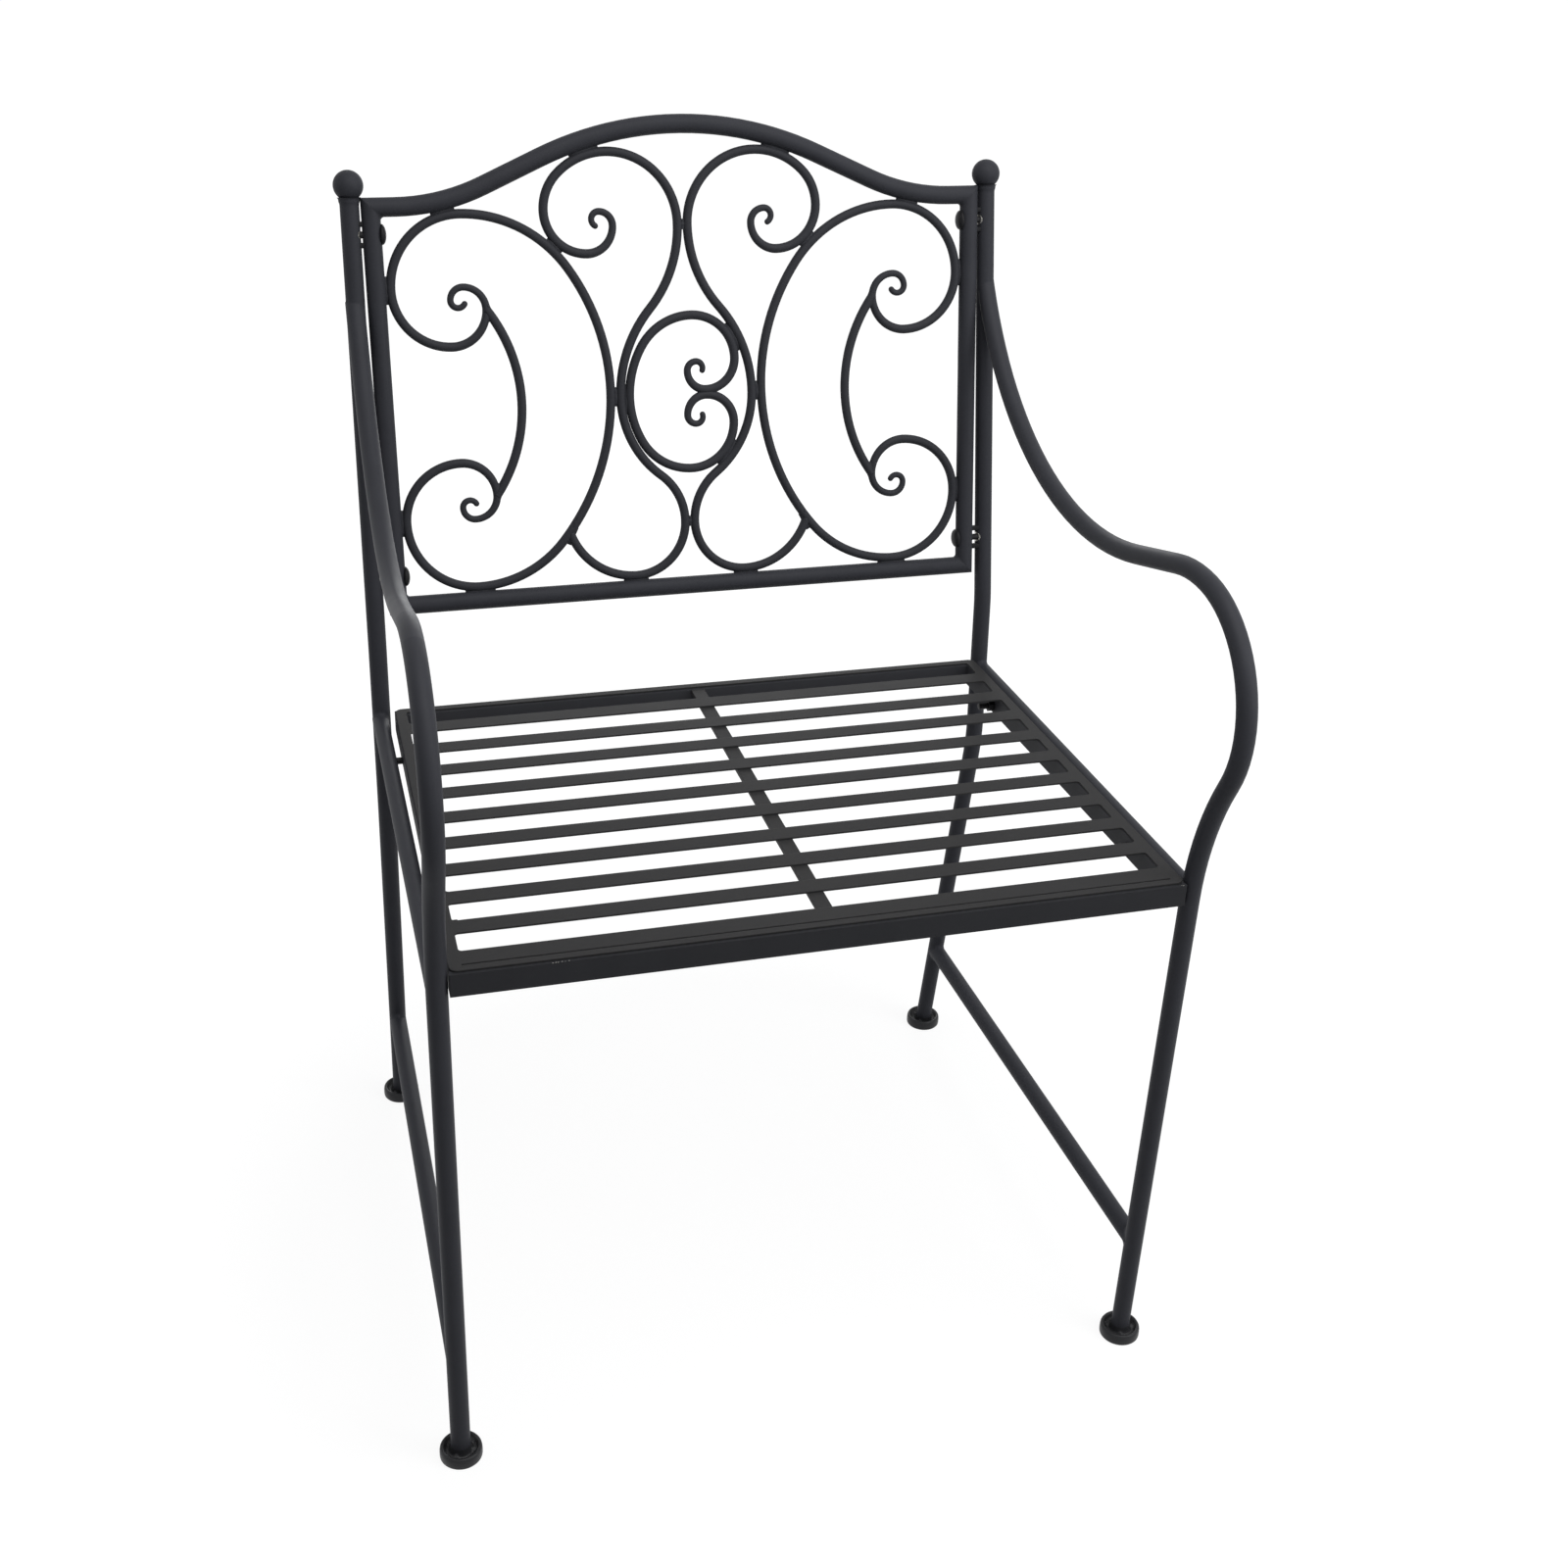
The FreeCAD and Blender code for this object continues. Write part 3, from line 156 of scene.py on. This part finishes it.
# Rear posts: one steel tube each from the floor to the ball, bent softly under and over
# the seat, with a satin charcoal powder coat baked on after all the welding.
def powder_coat(name, tone, gloss, grain=0.3, shine=0.09):
    """Satin baked powder: orange peel, faint clouds, specks and a little wear on sharp edges."""
    material = bpy.data.materials.new(name)
    tree = node_tree(material)
    place = add_node(tree, "ShaderNodeTexCoord")
    peel = add_node(tree, "ShaderNodeTexNoise", {"Vector": place.outputs["Object"]},
                    Scale=700.0, Detail=3.0, Roughness=0.55)
    cloud = add_node(tree, "ShaderNodeTexNoise", {"Vector": place.outputs["Object"]},
                     Scale=34.0, Detail=4.0, Roughness=0.55)
    speck = add_node(tree, "ShaderNodeTexNoise", {"Vector": place.outputs["Object"]},
                     Scale=2300.0, Detail=1.0, Roughness=0.5)
    dark = tuple(channel * 0.84 for channel in tone) + (1,)
    light = tuple(channel * 1.18 for channel in tone) + (1,)
    clouded = add_node(tree, "ShaderNodeMix", {0: cloud.outputs["Fac"]}, set_data_type="RGBA")
    clouded.inputs[6].default_value = dark
    clouded.inputs[7].default_value = light
    dusty = add_node(tree, "ShaderNodeMapRange", {"Value": speck.outputs["Fac"]},
                     From_Min=0.66, From_Max=0.8, To_Max=0.35)
    specked = add_node(tree, "ShaderNodeMix", {0: dusty.outputs[0], 6: clouded.outputs[2]},
                       set_data_type="RGBA")
    specked.inputs[7].default_value = tuple(channel * 2.0 for channel in tone) + (1,)
    soft_edge = add_node(tree, "ShaderNodeBevel", Radius=0.0007, set_samples=4)
    flat = add_node(tree, "ShaderNodeNewGeometry")
    turned = add_node(tree, "ShaderNodeVectorMath", {0: soft_edge.outputs[0],
                                                     1: flat.outputs["Normal"]},
                      set_operation="DOT_PRODUCT")
    edge = add_node(tree, "ShaderNodeMapRange", {"Value": turned.outputs["Value"]},
                    From_Min=0.985, From_Max=0.90, To_Max=0.5)
    rubbed = add_node(tree, "ShaderNodeMath", {0: edge.outputs[0], 1: cloud.outputs["Fac"]},
                      set_operation="MULTIPLY")
    worn = add_node(tree, "ShaderNodeMix", {0: rubbed.outputs[0], 6: specked.outputs[2]},
                    set_data_type="RGBA")
    worn.inputs[7].default_value = tuple(channel * 1.7 for channel in tone) + (1,)
    matt = add_node(tree, "ShaderNodeMapRange", {"Value": cloud.outputs["Fac"]},
                    To_Min=gloss - 0.05, To_Max=gloss + 0.08)
    bump = add_node(tree, "ShaderNodeBump", {"Height": peel.outputs["Fac"],
                                             "Normal": soft_edge.outputs[0]},
                    Strength=grain, Distance=0.00012)
    coat = add_node(tree, "ShaderNodeBsdfPrincipled", {"Base Color": worn.outputs[2],
                                                       "Roughness": matt.outputs[0],
                                                       "Normal": bump.outputs[0]},
                    IOR=1.5, Specular_IOR_Level=shine)
    add_node(tree, "ShaderNodeOutputMaterial", {0: coat.outputs[0]})
    return material


def wear_finish(node_name, material):
    """A CAD node takes a finish in every one of its material slots."""
    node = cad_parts[node_name]
    for slot in node.material_slots:
        slot.material = material


frame_coat = powder_coat("frame_powder_coat", (0.039, 0.0402, 0.0475), 0.52)
for side in ("left", "right"):
    wear_finish(side + "_rear_post", frame_coat)

# Arms and front legs: the same tube, bent five times, from the front foot up, forward,
# over the rest for the hand and back to a weld along the front of the rear post.
# The arms take a slightly lighter, glossier copy of the frame coat: painted light on the arms.
arm_painted_light_coat = powder_coat("arm_painted_light_powder", (0.041, 0.0422, 0.0495), 0.48)
for side in ("left", "right"):
    wear_finish(side + "_arm_and_front_leg", arm_painted_light_coat)

# Stretchers: straight tubes near the floor, coped at both ends to fit round the legs and
# joined to them by a smooth weld bead all round, under the coat.
def surface_of(*node_names):
    """The surfaces of some CAD nodes as one search tree, in the row frame."""
    corners, faces = [], []
    for node_name in node_names:
        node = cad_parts[node_name]
        start = len(corners)
        corners += [node.matrix_world @ vertex.co for vertex in node.data.vertices]
        faces += [[start + index for index in face.vertices] for face in node.data.polygons]
    return BVHTree.FromPolygons(corners, faces)


def mirrored(point, side):
    """A point given for the right side, on the side that is asked for."""
    return Vector((point[0] if side == "right" else -point[0], point[1], point[2]))


def bead_rows(surface, end, along, radius, size, seed, steps=56, rows=9):
    """Rows of points for a hollow bead that runs from a round bar down onto a surface."""
    along = Vector(along).normalized()
    end = Vector(end)
    across = along.orthogonal().normalized()
    other = along.cross(across)
    dice = random.Random(seed)
    phase_a, phase_b = dice.uniform(0, 6.28), dice.uniform(0, 6.28)
    table = [[] for _ in range(rows)]
    for step in range(steps):
        angle = 2 * math.pi * step / steps
        radial = across * math.cos(angle) + other * math.sin(angle)
        foot = end + radial * radius * 0.97
        corner, normal, _, _ = surface.ray_cast(foot + along * radius * 3, -along, radius * 4)
        if corner is None:
            corner, normal, _, _ = surface.find_nearest(foot)
        if normal.dot(along) < -0.3:
            normal = -normal
        slide = radial - normal * radial.dot(normal)
        flush = 1 - min(1.0, slide.length)
        ripple = 1 + 0.06 * math.sin(5 * angle + phase_a) + 0.04 * math.sin(13 * angle + phase_b)
        length = size * ripple
        upper = corner + along * length * (1 - 0.4 * flush) - radial * 0.0001
        lower, low_normal, _, _ = surface.find_nearest(corner + (slide - along * flush) * length)
        if low_normal.dot(normal) < 0:
            low_normal = -low_normal
        lower = lower - low_normal * 0.00015
        knee = corner + (radial + normal) * (0.10 * size * flush)
        for row in range(rows):
            share = row / (rows - 1)
            table[row].append(upper * (1 - share) ** 2 + knee * 2 * share * (1 - share)
                              + lower * share ** 2)
    return table


def add_rows(corners, faces, table, closed=True):
    """Adds rows of points to a mesh that is being built, joined row to row."""
    start, steps = len(corners), len(table[0])
    corners += [point for row in table for point in row]
    for row in range(len(table) - 1):
        for step in range(steps if closed else steps - 1):
            turn_to = (step + 1) % steps
            here, below = start + row * steps, start + (row + 1) * steps
            faces.append((here + step, below + step, below + turn_to, here + turn_to))


def add_piece(name, corners, faces, material):
    """A smooth mesh that belongs to the chair and takes its finish from one slot."""
    mesh = bpy.data.meshes.new(name)
    mesh.from_pydata([tuple(corner) for corner in corners], [], faces)
    for face in mesh.polygons:
        face.use_smooth = True
    mesh.materials.append(material)
    piece = bpy.data.objects.new(name, mesh)
    bpy.context.scene.collection.objects.link(piece)
    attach(piece, "root")
    return piece


def bar_end_beads(name, ends, material):
    """One mesh with a bead for each (surface, end, direction, radius, size)."""
    corners, faces = [], []
    for number, (surface, end, along, radius, size) in enumerate(ends):
        add_rows(corners, faces, bead_rows(surface, end, along, radius, size, name + str(number)))
    return add_piece(name, corners, faces, material)


post_surface = {side: surface_of(side + "_rear_post") for side in ("left", "right")}
leg_surface = {side: surface_of(side + "_arm_and_front_leg") for side in ("left", "right")}
tube_radius, stretcher_bead = 0.0080, 0.0062
stretcher_rear, stretcher_front = (0.28607, 0.24353, 0.106), (0.29256, -0.23537, 0.106)
stretcher_ends = []
for side in ("left", "right"):
    wear_finish(side + "_stretcher", frame_coat)
    rear, front = mirrored(stretcher_rear, side), mirrored(stretcher_front, side)
    stretcher_ends.append((post_surface[side], rear, front - rear, tube_radius, stretcher_bead))
    stretcher_ends.append((leg_surface[side], front, rear - front, tube_radius, stretcher_bead))
bar_end_beads("stretcher_weld_beads", stretcher_ends, frame_coat)

# Seat side rails: thinner tubes that carry the seat between the front leg and the rear post,
# coped and welded like the stretchers.
rail_radius, rail_bead = 0.0070, 0.0050
rail_rear, rail_front = (0.2885, 0.19974, 0.459), (0.295, -0.23988, 0.459)
rail_ends = []
for side in ("left", "right"):
    wear_finish(side + "_seat_side_rail", frame_coat)
    rear, front = mirrored(rail_rear, side), mirrored(rail_front, side)
    rail_ends.append((post_surface[side], rear, front - rear, rail_radius, rail_bead))
    rail_ends.append((leg_surface[side], front, rear - front, rail_radius, rail_bead))
bar_end_beads("seat_rail_weld_beads", rail_ends, frame_coat)

# Arm ends: the arm's tube meets the front of the post at a slant, is coped to it and ends
# inside its outline; a thin bead closes the long seam between the two tubes.
arm_bead = 0.0022
arm_end, arm_lean = (0.28416, 0.25607, 0.81963), (0.0088, -0.5274, -0.8496)
arm_ends = [(post_surface[side], mirrored(arm_end, side), mirrored(arm_lean, side), tube_radius,
             arm_bead) for side in ("left", "right")]
bar_end_beads("arm_end_weld_beads", arm_ends, frame_coat)

# Feet: turned steel cups with a thick rounded rim and a dished top, in which the tube stands
# on four short webs; coated black and a little glossier than the tubes.
foot_coat = powder_coat("foot_powder_coat", (0.021, 0.0213, 0.0235), 0.40, 0.25, 0.22)
foot_profile = [
    (0.0000, 0.0000), (0.0152, 0.0000), (0.0166, 0.0004), (0.0172, 0.0012), (0.0174, 0.0024),
    (0.0174, 0.0052), (0.0173, 0.0076), (0.0170, 0.0092), (0.0164, 0.0103), (0.0155, 0.0107),
    (0.0146, 0.0104), (0.0139, 0.0094), (0.0132, 0.0078), (0.0122, 0.0066), (0.0110, 0.0062),
    (0.0100, 0.0064), (0.0091, 0.0075), (0.0085, 0.0094), (0.0081, 0.0115), (0.0079, 0.0130)]
foot_steps = 64
lean_radius, lean_band = 0.0130, 0.0045
web_radius, web_band, web_height, web_floor = 0.0106, 0.0024, 0.0030, 0.005
foot_places = {"rear": ((0.2855, 0.2618), (0.0054, -0.1723)),
               "front": ((0.2922, -0.2341), (0.0034, -0.0120))}
for side in ("left", "right"):
    for end in ("rear", "front"):
        (centre_x, centre_y), (lean_x, lean_y) = foot_places[end]
        middle = mirrored((centre_x, centre_y, 0.0), side)
        lean = mirrored((lean_x, lean_y, 0.0), side)
        dice = random.Random(side + end)
        first_web = dice.uniform(0, 1.5)
        table = []
        for radius, height in foot_profile:
            inner = min(1.0, max(0.0, (lean_radius - radius) / lean_band)) if height > 0 else 0.0
            near_tube = max(0.0, 1 - abs(radius - web_radius) / web_band)
            row = []
            for step in range(foot_steps):
                angle = 2 * math.pi * step / foot_steps
                web = max(0.0, math.cos(3.5 * (angle - first_web))) ** 4
                lump = web_height * web * near_tube if height > web_floor else 0.0
                shift = lean * (height * inner)
                row.append(middle + shift + Vector((radius * math.cos(angle),
                                                    radius * math.sin(angle), height + lump)))
            table.append(row)
        corners, faces = [], []
        add_rows(corners, faces, table)
        faces = [tuple(reversed(face)) for face in faces]
        foot = add_piece(side + "_" + end + "_foot_cup", corners, faces, foot_coat)
        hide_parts(side + "_" + end + "_foot")
        wear_finish(side + "_" + end + "_foot", foot_coat)

# Ball finials: steel balls on short collars, plugged into the tops of the posts and welded
# round the neck; the bead is dressed smooth before coating.
neck_profile = [(0.00800, -0.0034), (0.00815, -0.0020), (0.00858, -0.0009), (0.00880, 0.0002),
                (0.00878, 0.0011), (0.00900, 0.0018), (0.00945, 0.0024), (0.00995, 0.0029)]
neck_steps = 56
post_top, post_lean = (0.28273, 0.27049, 0.9016), (-0.003, 0.177, 0.984)
corners, faces = [], []
for side in ("left", "right"):
    wear_finish(side + "_ball_finial", frame_coat)
    up = mirrored(post_lean, side).normalized()
    across = up.orthogonal().normalized()
    other = up.cross(across)
    add_rows(corners, faces, [
        [mirrored(post_top, side) + up * height
         + (across * math.cos(2 * math.pi * step / neck_steps)
            + other * math.sin(2 * math.pi * step / neck_steps)) * radius
         for step in range(neck_steps)] for radius, height in reversed(neck_profile)])
add_piece("ball_neck_beads", corners, faces, frame_coat)

# Back frame: top rail with its crown, two stiles and a bottom rail, mitred and welded, with
# the weld rounded out in the inner corners.
for name in ("back_top_rail", "back_bottom_rail", "left_back_stile", "right_back_stile"):
    wear_finish(name, frame_coat)
back_rake = math.radians(10.2)
panel_up = Vector((0.0, math.sin(back_rake), math.cos(back_rake)))
panel_normal = Vector((0.0, math.cos(back_rake), -math.sin(back_rake)))
corner_round, corner_sunk = 0.0034, 0.0001
corner_rows, corner_reach = 15, 84
fillet_steps, fillet_turn = 9, 11.25
corners, faces = [], []
for side in ("left", "right"):
    for corner_axis, into in (((0.266, 0.2681, 0.89655), -panel_up),
                              ((0.266, 0.20814, 0.5633), panel_up)):
        inward = mirrored((-1.0, 0.0, 0.0), side)
        table = []
        for row in range(corner_rows):
            around = math.radians(-corner_reach + 2 * corner_reach * row / (corner_rows - 1))
            offset = tube_radius * math.cos(around) - corner_sunk
            bend = corner_round * math.cos(around)
            line = []
            for step in range(fillet_steps):
                turned = math.radians(fillet_turn * step)
                line.append(mirrored(corner_axis, side)
                            + inward * (offset + bend * (1 - math.cos(turned)))
                            + into * (offset + bend * (1 - math.sin(turned)))
                            + panel_normal * tube_radius * math.sin(around))
            table.append(line)
        add_rows(corners, faces, table, closed=False)
add_piece("back_corner_welds", corners, faces, frame_coat)

# Scrolls: 8 mm rod bent round formers, with drawn-out curled tips, in one plane inside the
# back frame; where a bar ends on another one, a smooth bead blends the two.
# The scrolls, their beads and webs take a slightly darker copy of the frame coat: painted shade
# that tones the rods down.
scroll_painted_shade_coat = powder_coat("scroll_painted_shade_powder", (0.036, 0.0370, 0.0430), 0.50)
for side in ("left", "right"):
    for part in ("c_scroll", "s_scroll", "bow_bar"):
        wear_finish(side + "_" + part, scroll_painted_shade_coat)
wear_finish("centre_scroll", scroll_painted_shade_coat)
wear_finish("scroll_weld_beads", scroll_painted_shade_coat)
rod_radius, rod_bead = 0.0040, 0.0034
scroll_ends = []
for side in ("left", "right"):
    curl = surface_of(side + "_c_scroll")
    for end, along in (((0.1743, 0.25288, 0.81193), (-0.5943, -0.1424, -0.7915)),
                       ((0.1738, 0.22451, 0.65424), (-0.5893, 0.1431, 0.7952)),
                       ((0.11316, 0.2209, 0.6342), (-0.0349, -0.177, -0.9836))):
        scroll_ends.append((curl, mirrored(end, side), mirrored(along, side), rod_radius, rod_bead))
bar_end_beads("scroll_end_weld_beads", scroll_ends, scroll_painted_shade_coat)


# Scroll webs: where two scrolls touch side by side, weld metal fills the groove between the
# round bars on both faces, a lens 17 to 27 mm long.
web_shortest, web_longest, web_stretch = 0.0085, 0.0135, 1.3
fewest_points, shortest_touch = 4, 0.0008


def touching_places(node_name, others, gap=0.0011, apart=0.030):
    """Where a scroll touches other bars: (middle, direction along the bars, half length)."""
    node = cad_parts[node_name]
    surface = surface_of(*others)
    groups = []
    for vertex in node.data.vertices:
        point = node.matrix_world @ vertex.co
        near = surface.find_nearest(point, gap)[0]
        if near is None:
            continue
        middle = (point + near) / 2
        for group in groups:
            if (group[0] - middle).length < apart:
                group.append(middle)
                break
        else:
            groups.append([middle])
    places = []
    for group in groups:
        if len(group) < fewest_points:
            continue
        middle = sum(group, Vector()) / len(group)
        along = max(group, key=lambda point: (point - middle).length) - middle
        if along.length < shortest_touch:
            continue
        half_length = min(web_longest, max(web_shortest, along.length * web_stretch))
        places.append((middle, along.normalized(), half_length))
    return places


contacts = []
for side in ("left", "right"):
    contacts += touching_places(side + "_c_scroll", (side + "_back_stile", "back_top_rail",
                                                     "back_bottom_rail"))
    contacts += touching_places(side + "_s_scroll", ("back_top_rail", "back_bottom_rail"))
    contacts += touching_places(side + "_s_scroll", (side + "_c_scroll",))
    contacts += touching_places("centre_scroll", (side + "_s_scroll",))
contacts += touching_places("left_s_scroll", ("right_s_scroll",))
# Low on the left the centre scroll stands just clear of the S scroll, with no weld there.
open_gap, gap_reach = Vector((-0.045, 0.231, 0.692)), 0.010
contacts = [place for place in contacts if (place[0] - open_gap).length > gap_reach]
web_rows, web_steps = 15, 16
web_half_width, web_half_height = 0.0030, 0.0026
corners, faces = [], []
for number, (middle, along, half_length) in enumerate(contacts):
    along = (along - panel_normal * along.dot(panel_normal)).normalized()
    across = panel_normal.cross(along)
    dice = random.Random(number)
    wave = dice.uniform(0, 6.28)
    table = []
    for row in range(web_rows):
        share = -1 + 2 * row / (web_rows - 1)
        swell = max(0.02, (1 - abs(share) ** 2.4)) ** 0.6
        ripple = 1 + 0.05 * math.sin(9 * share + wave)
        ring = []
        for step in range(web_steps):
            angle = 2 * math.pi * step / web_steps
            wide = web_half_width * math.cos(angle)
            tall = web_half_height * math.sin(angle) * swell * ripple
            ring.append(middle + along * share * half_length + across * wide + panel_normal * tall)
        table.append(ring)
    add_rows(corners, faces, table)
add_piece("scroll_weld_webs", corners, faces, scroll_painted_shade_coat)

# Back bolts: black steel bolts with domed heads, driven from inside the panel through stile
# and spacer into zinc-plated threaded inserts in the posts.
bolt_coat = powder_coat("bolt_black", (0.012, 0.012, 0.0135), 0.45, 0.1, 0.15)
wear_finish("back_bolts", bolt_coat)
zinc_plate = powder_coat("zinc_plate", (0.46, 0.45, 0.42), 0.38, 0.12, 0.02)
zinc_plate.node_tree.nodes["Principled BSDF"].inputs["Metallic"].default_value = 1.0
wear_finish("back_threaded_inserts", zinc_plate)
bolt_places = [((0.258, 0.26423, 0.87499), 0.28303), ((0.258, 0.21277, 0.58899), 0.28616)]
head_height, head_radius = 0.0038, 0.0086
head_turns = [math.radians(turn) for turn in (0.5, 8, 16, 26, 38, 50, 62, 74, 84, 90)]
head_profile = [(-head_height * math.cos(turn), head_radius * math.sin(turn))
                for turn in head_turns]
head_profile += [(0.0006, 0.0085), (0.0011, 0.0081), (0.0013, 0.0072), (0.0013, 0.0031)]
bolt_steps, half_pitch, thread_start, thread_past_post = 40, 0.0005, 0.002, 0.003
corners, faces = [], []
for side in ("left", "right"):
    outward = mirrored((1.0, 0.0, 0.0), side)
    for seat, post_x in bolt_places:
        profile = list(head_profile)
        thread_end = post_x + thread_past_post - seat[0]
        ridges = int((thread_end - thread_start) / half_pitch)
        profile += [(thread_start + half_pitch * ridge, 0.0030 if ridge % 2 else 0.00272)
                    for ridge in range(ridges)]
        profile += [(thread_end, 0.0024), (thread_end, 0.00002)]
        add_rows(corners, faces, [
            [mirrored(seat, side) + outward * depth
             + (panel_up * math.cos(2 * math.pi * step / bolt_steps)
                + panel_normal * math.sin(2 * math.pi * step / bolt_steps)) * radius
             for step in range(bolt_steps)]
            for depth, radius in profile])
dome_bolts = add_piece("back_dome_bolts", corners, faces, bolt_coat)
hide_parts("back_bolts")

# Back spacers: forged steel saddles between stile and post, each with an ear above and an ear
# below the bolt, coated with the frame; their colour is a much darker copy of that coat,
# painted shade for the narrow gap between stile and post.
spacer_painted_shade_coat = powder_coat("spacer_painted_shade_powder", (0.016, 0.0163, 0.018), 0.55)
wear_finish("back_spacers", spacer_painted_shade_coat)
ear_height, ear_depth, ear_middle = 0.0027, 0.0042, 0.0086
ear_rows, ear_steps, ear_sunk = 9, 24, 0.004
corners, faces = [], []
for side in ("left", "right"):
    outward = mirrored((1.0, 0.0, 0.0), side)
    for seat, post_x in bolt_places:
        stile_x = seat[0] + tube_radius
        for level in (-1, 1):
            table = []
            for row in range(ear_rows):
                share = row / (ear_rows - 1)
                waist = 1 - 0.16 * math.sin(math.pi * share)
                depth = stile_x - seat[0] + ear_sunk + (post_x - stile_x - 2 * ear_sunk) * share
                ring = []
                for step in range(ear_steps):
                    turn = 2 * math.pi * step / ear_steps
                    rise, run = math.sin(turn), math.cos(turn)
                    tall = ear_height * waist * math.copysign(abs(rise) ** 0.5, rise)
                    deep = ear_depth * waist * math.copysign(abs(run) ** 0.5, run)
                    ring.append(mirrored(seat, side) + outward * depth + panel_normal * deep
                                + panel_up * (tall + level * ear_middle))
                table.append(ring)
            add_rows(corners, faces, table)
ears = add_piece("back_spacer_ears", corners, faces, spacer_painted_shade_coat)
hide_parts("back_spacers")

# Seat: a slotted steel sheet welded on a mitred frame of rectangular tube, with a flat bar
# under the slats; studs welded to the side rails pass through the side tubes to nuts inside.
# The seat's coats are copies of the one frame coat in painted light and shade: the sheet, the
# centre bar and the front tube take darker painted-shade copies, and the side and rear tubes a
# lighter painted-light copy.
seat_painted_shade_coat = powder_coat("seat_painted_shade_powder", (0.0300, 0.0297, 0.0305), 0.55)
seat_tube_painted_light_coat = powder_coat("seat_tube_painted_light_powder", (0.036, 0.0368, 0.0415), 0.55)
for name in ("seat_slat_panel", "seat_centre_bar"):
    wear_finish(name, seat_painted_shade_coat)
wear_finish("seat_front_tube", powder_coat("seat_front_painted_shade_powder", (0.029, 0.0296, 0.0330), 0.55))
for name in ("seat_rear_tube", "left_seat_side_tube", "right_seat_side_tube"):
    wear_finish(name, seat_tube_painted_light_coat)
wear_finish("seat_studs", bolt_coat)
wear_finish("seat_nuts", bolt_coat)

# Stud threads: the rolled thread on the tail of each seat stud, past its nut, with a small
# chamfer at the tip.
stud_steps, stud_tail = 28, 0.0090
stud_tails = [((0.26792, 0.11351, 0.459), 0.0050), ((0.27369, -0.16449, 0.459), 0.0050)]
corners, faces = [], []
for side in ("left", "right"):
    inward = mirrored((-1.0, 0.0131, 0.0), side).normalized()
    upright = Vector((0.0, 0.0, 1.0))
    across = inward.cross(upright)
    for face_point, nut_height in stud_tails:
        start, tip = nut_height - 0.0002, nut_height + stud_tail
        profile = [(start, 0.0002), (start, 0.0030)]
        profile += [(start + half_pitch * ridge, 0.00312 if ridge % 2 else 0.00285)
                    for ridge in range(1, int((tip - start - 0.0008) / half_pitch))]
        profile += [(tip - 0.0006, 0.0029), (tip + 0.0001, 0.0024), (tip + 0.0001, 0.00005)]
        add_rows(corners, faces, [
            [mirrored(face_point, side) + inward * depth
             + (upright * math.cos(2 * math.pi * step / stud_steps)
                + across * math.sin(2 * math.pi * step / stud_steps)) * radius
             for step in range(stud_steps)]
            for depth, radius in profile])
add_piece("seat_stud_threads", corners, faces, bolt_coat)

# Paint chips and a painted glint: the six specks on the left of the seat's front edge are where the
# coat has flaked off and shows the pale primer under it; the two at the right front corner are a
# painted highlight for a glint on the sheet's corner.
# One pale colour serves both the primer in the chips and the painted glint.
chip_primer_and_painted_glint = powder_coat("chip_primer_and_painted_glint", (0.42, 0.41, 0.38), 0.7, 0.2)
edge_mark_steps, edge_mark_middle_y, edge_mark_edge_y = 11, -0.24738, -0.24725
corners, faces = [], []
dice = random.Random(7)
for middle_x, middle_z, wide, tall in (
        (-0.2118, 0.47085, 0.0009, 0.0005), (-0.2096, 0.47110, 0.0006, 0.0006),
        (-0.2081, 0.47095, 0.0007, 0.0004), (-0.2052, 0.47120, 0.0009, 0.0003),
        (-0.2030, 0.47100, 0.0004, 0.0003), (-0.2001, 0.47125, 0.0006, 0.0003),
        (0.2822, 0.47100, 0.0006, 0.0005), (0.2806, 0.47130, 0.0005, 0.0003)):
    start = len(corners)
    corners.append(Vector((middle_x, edge_mark_middle_y, middle_z)))
    for step in range(edge_mark_steps):
        turn = 2 * math.pi * step / edge_mark_steps
        rough = dice.uniform(0.6, 1.15)
        corners.append(Vector((middle_x + wide * rough * math.cos(turn), edge_mark_edge_y,
                               middle_z + tall * rough * math.sin(turn))))
        faces.append((start, start + 1 + step, start + 1 + (step + 1) % edge_mark_steps))
add_piece("seat_edge_chips_and_painted_glint", corners, faces, chip_primer_and_painted_glint)
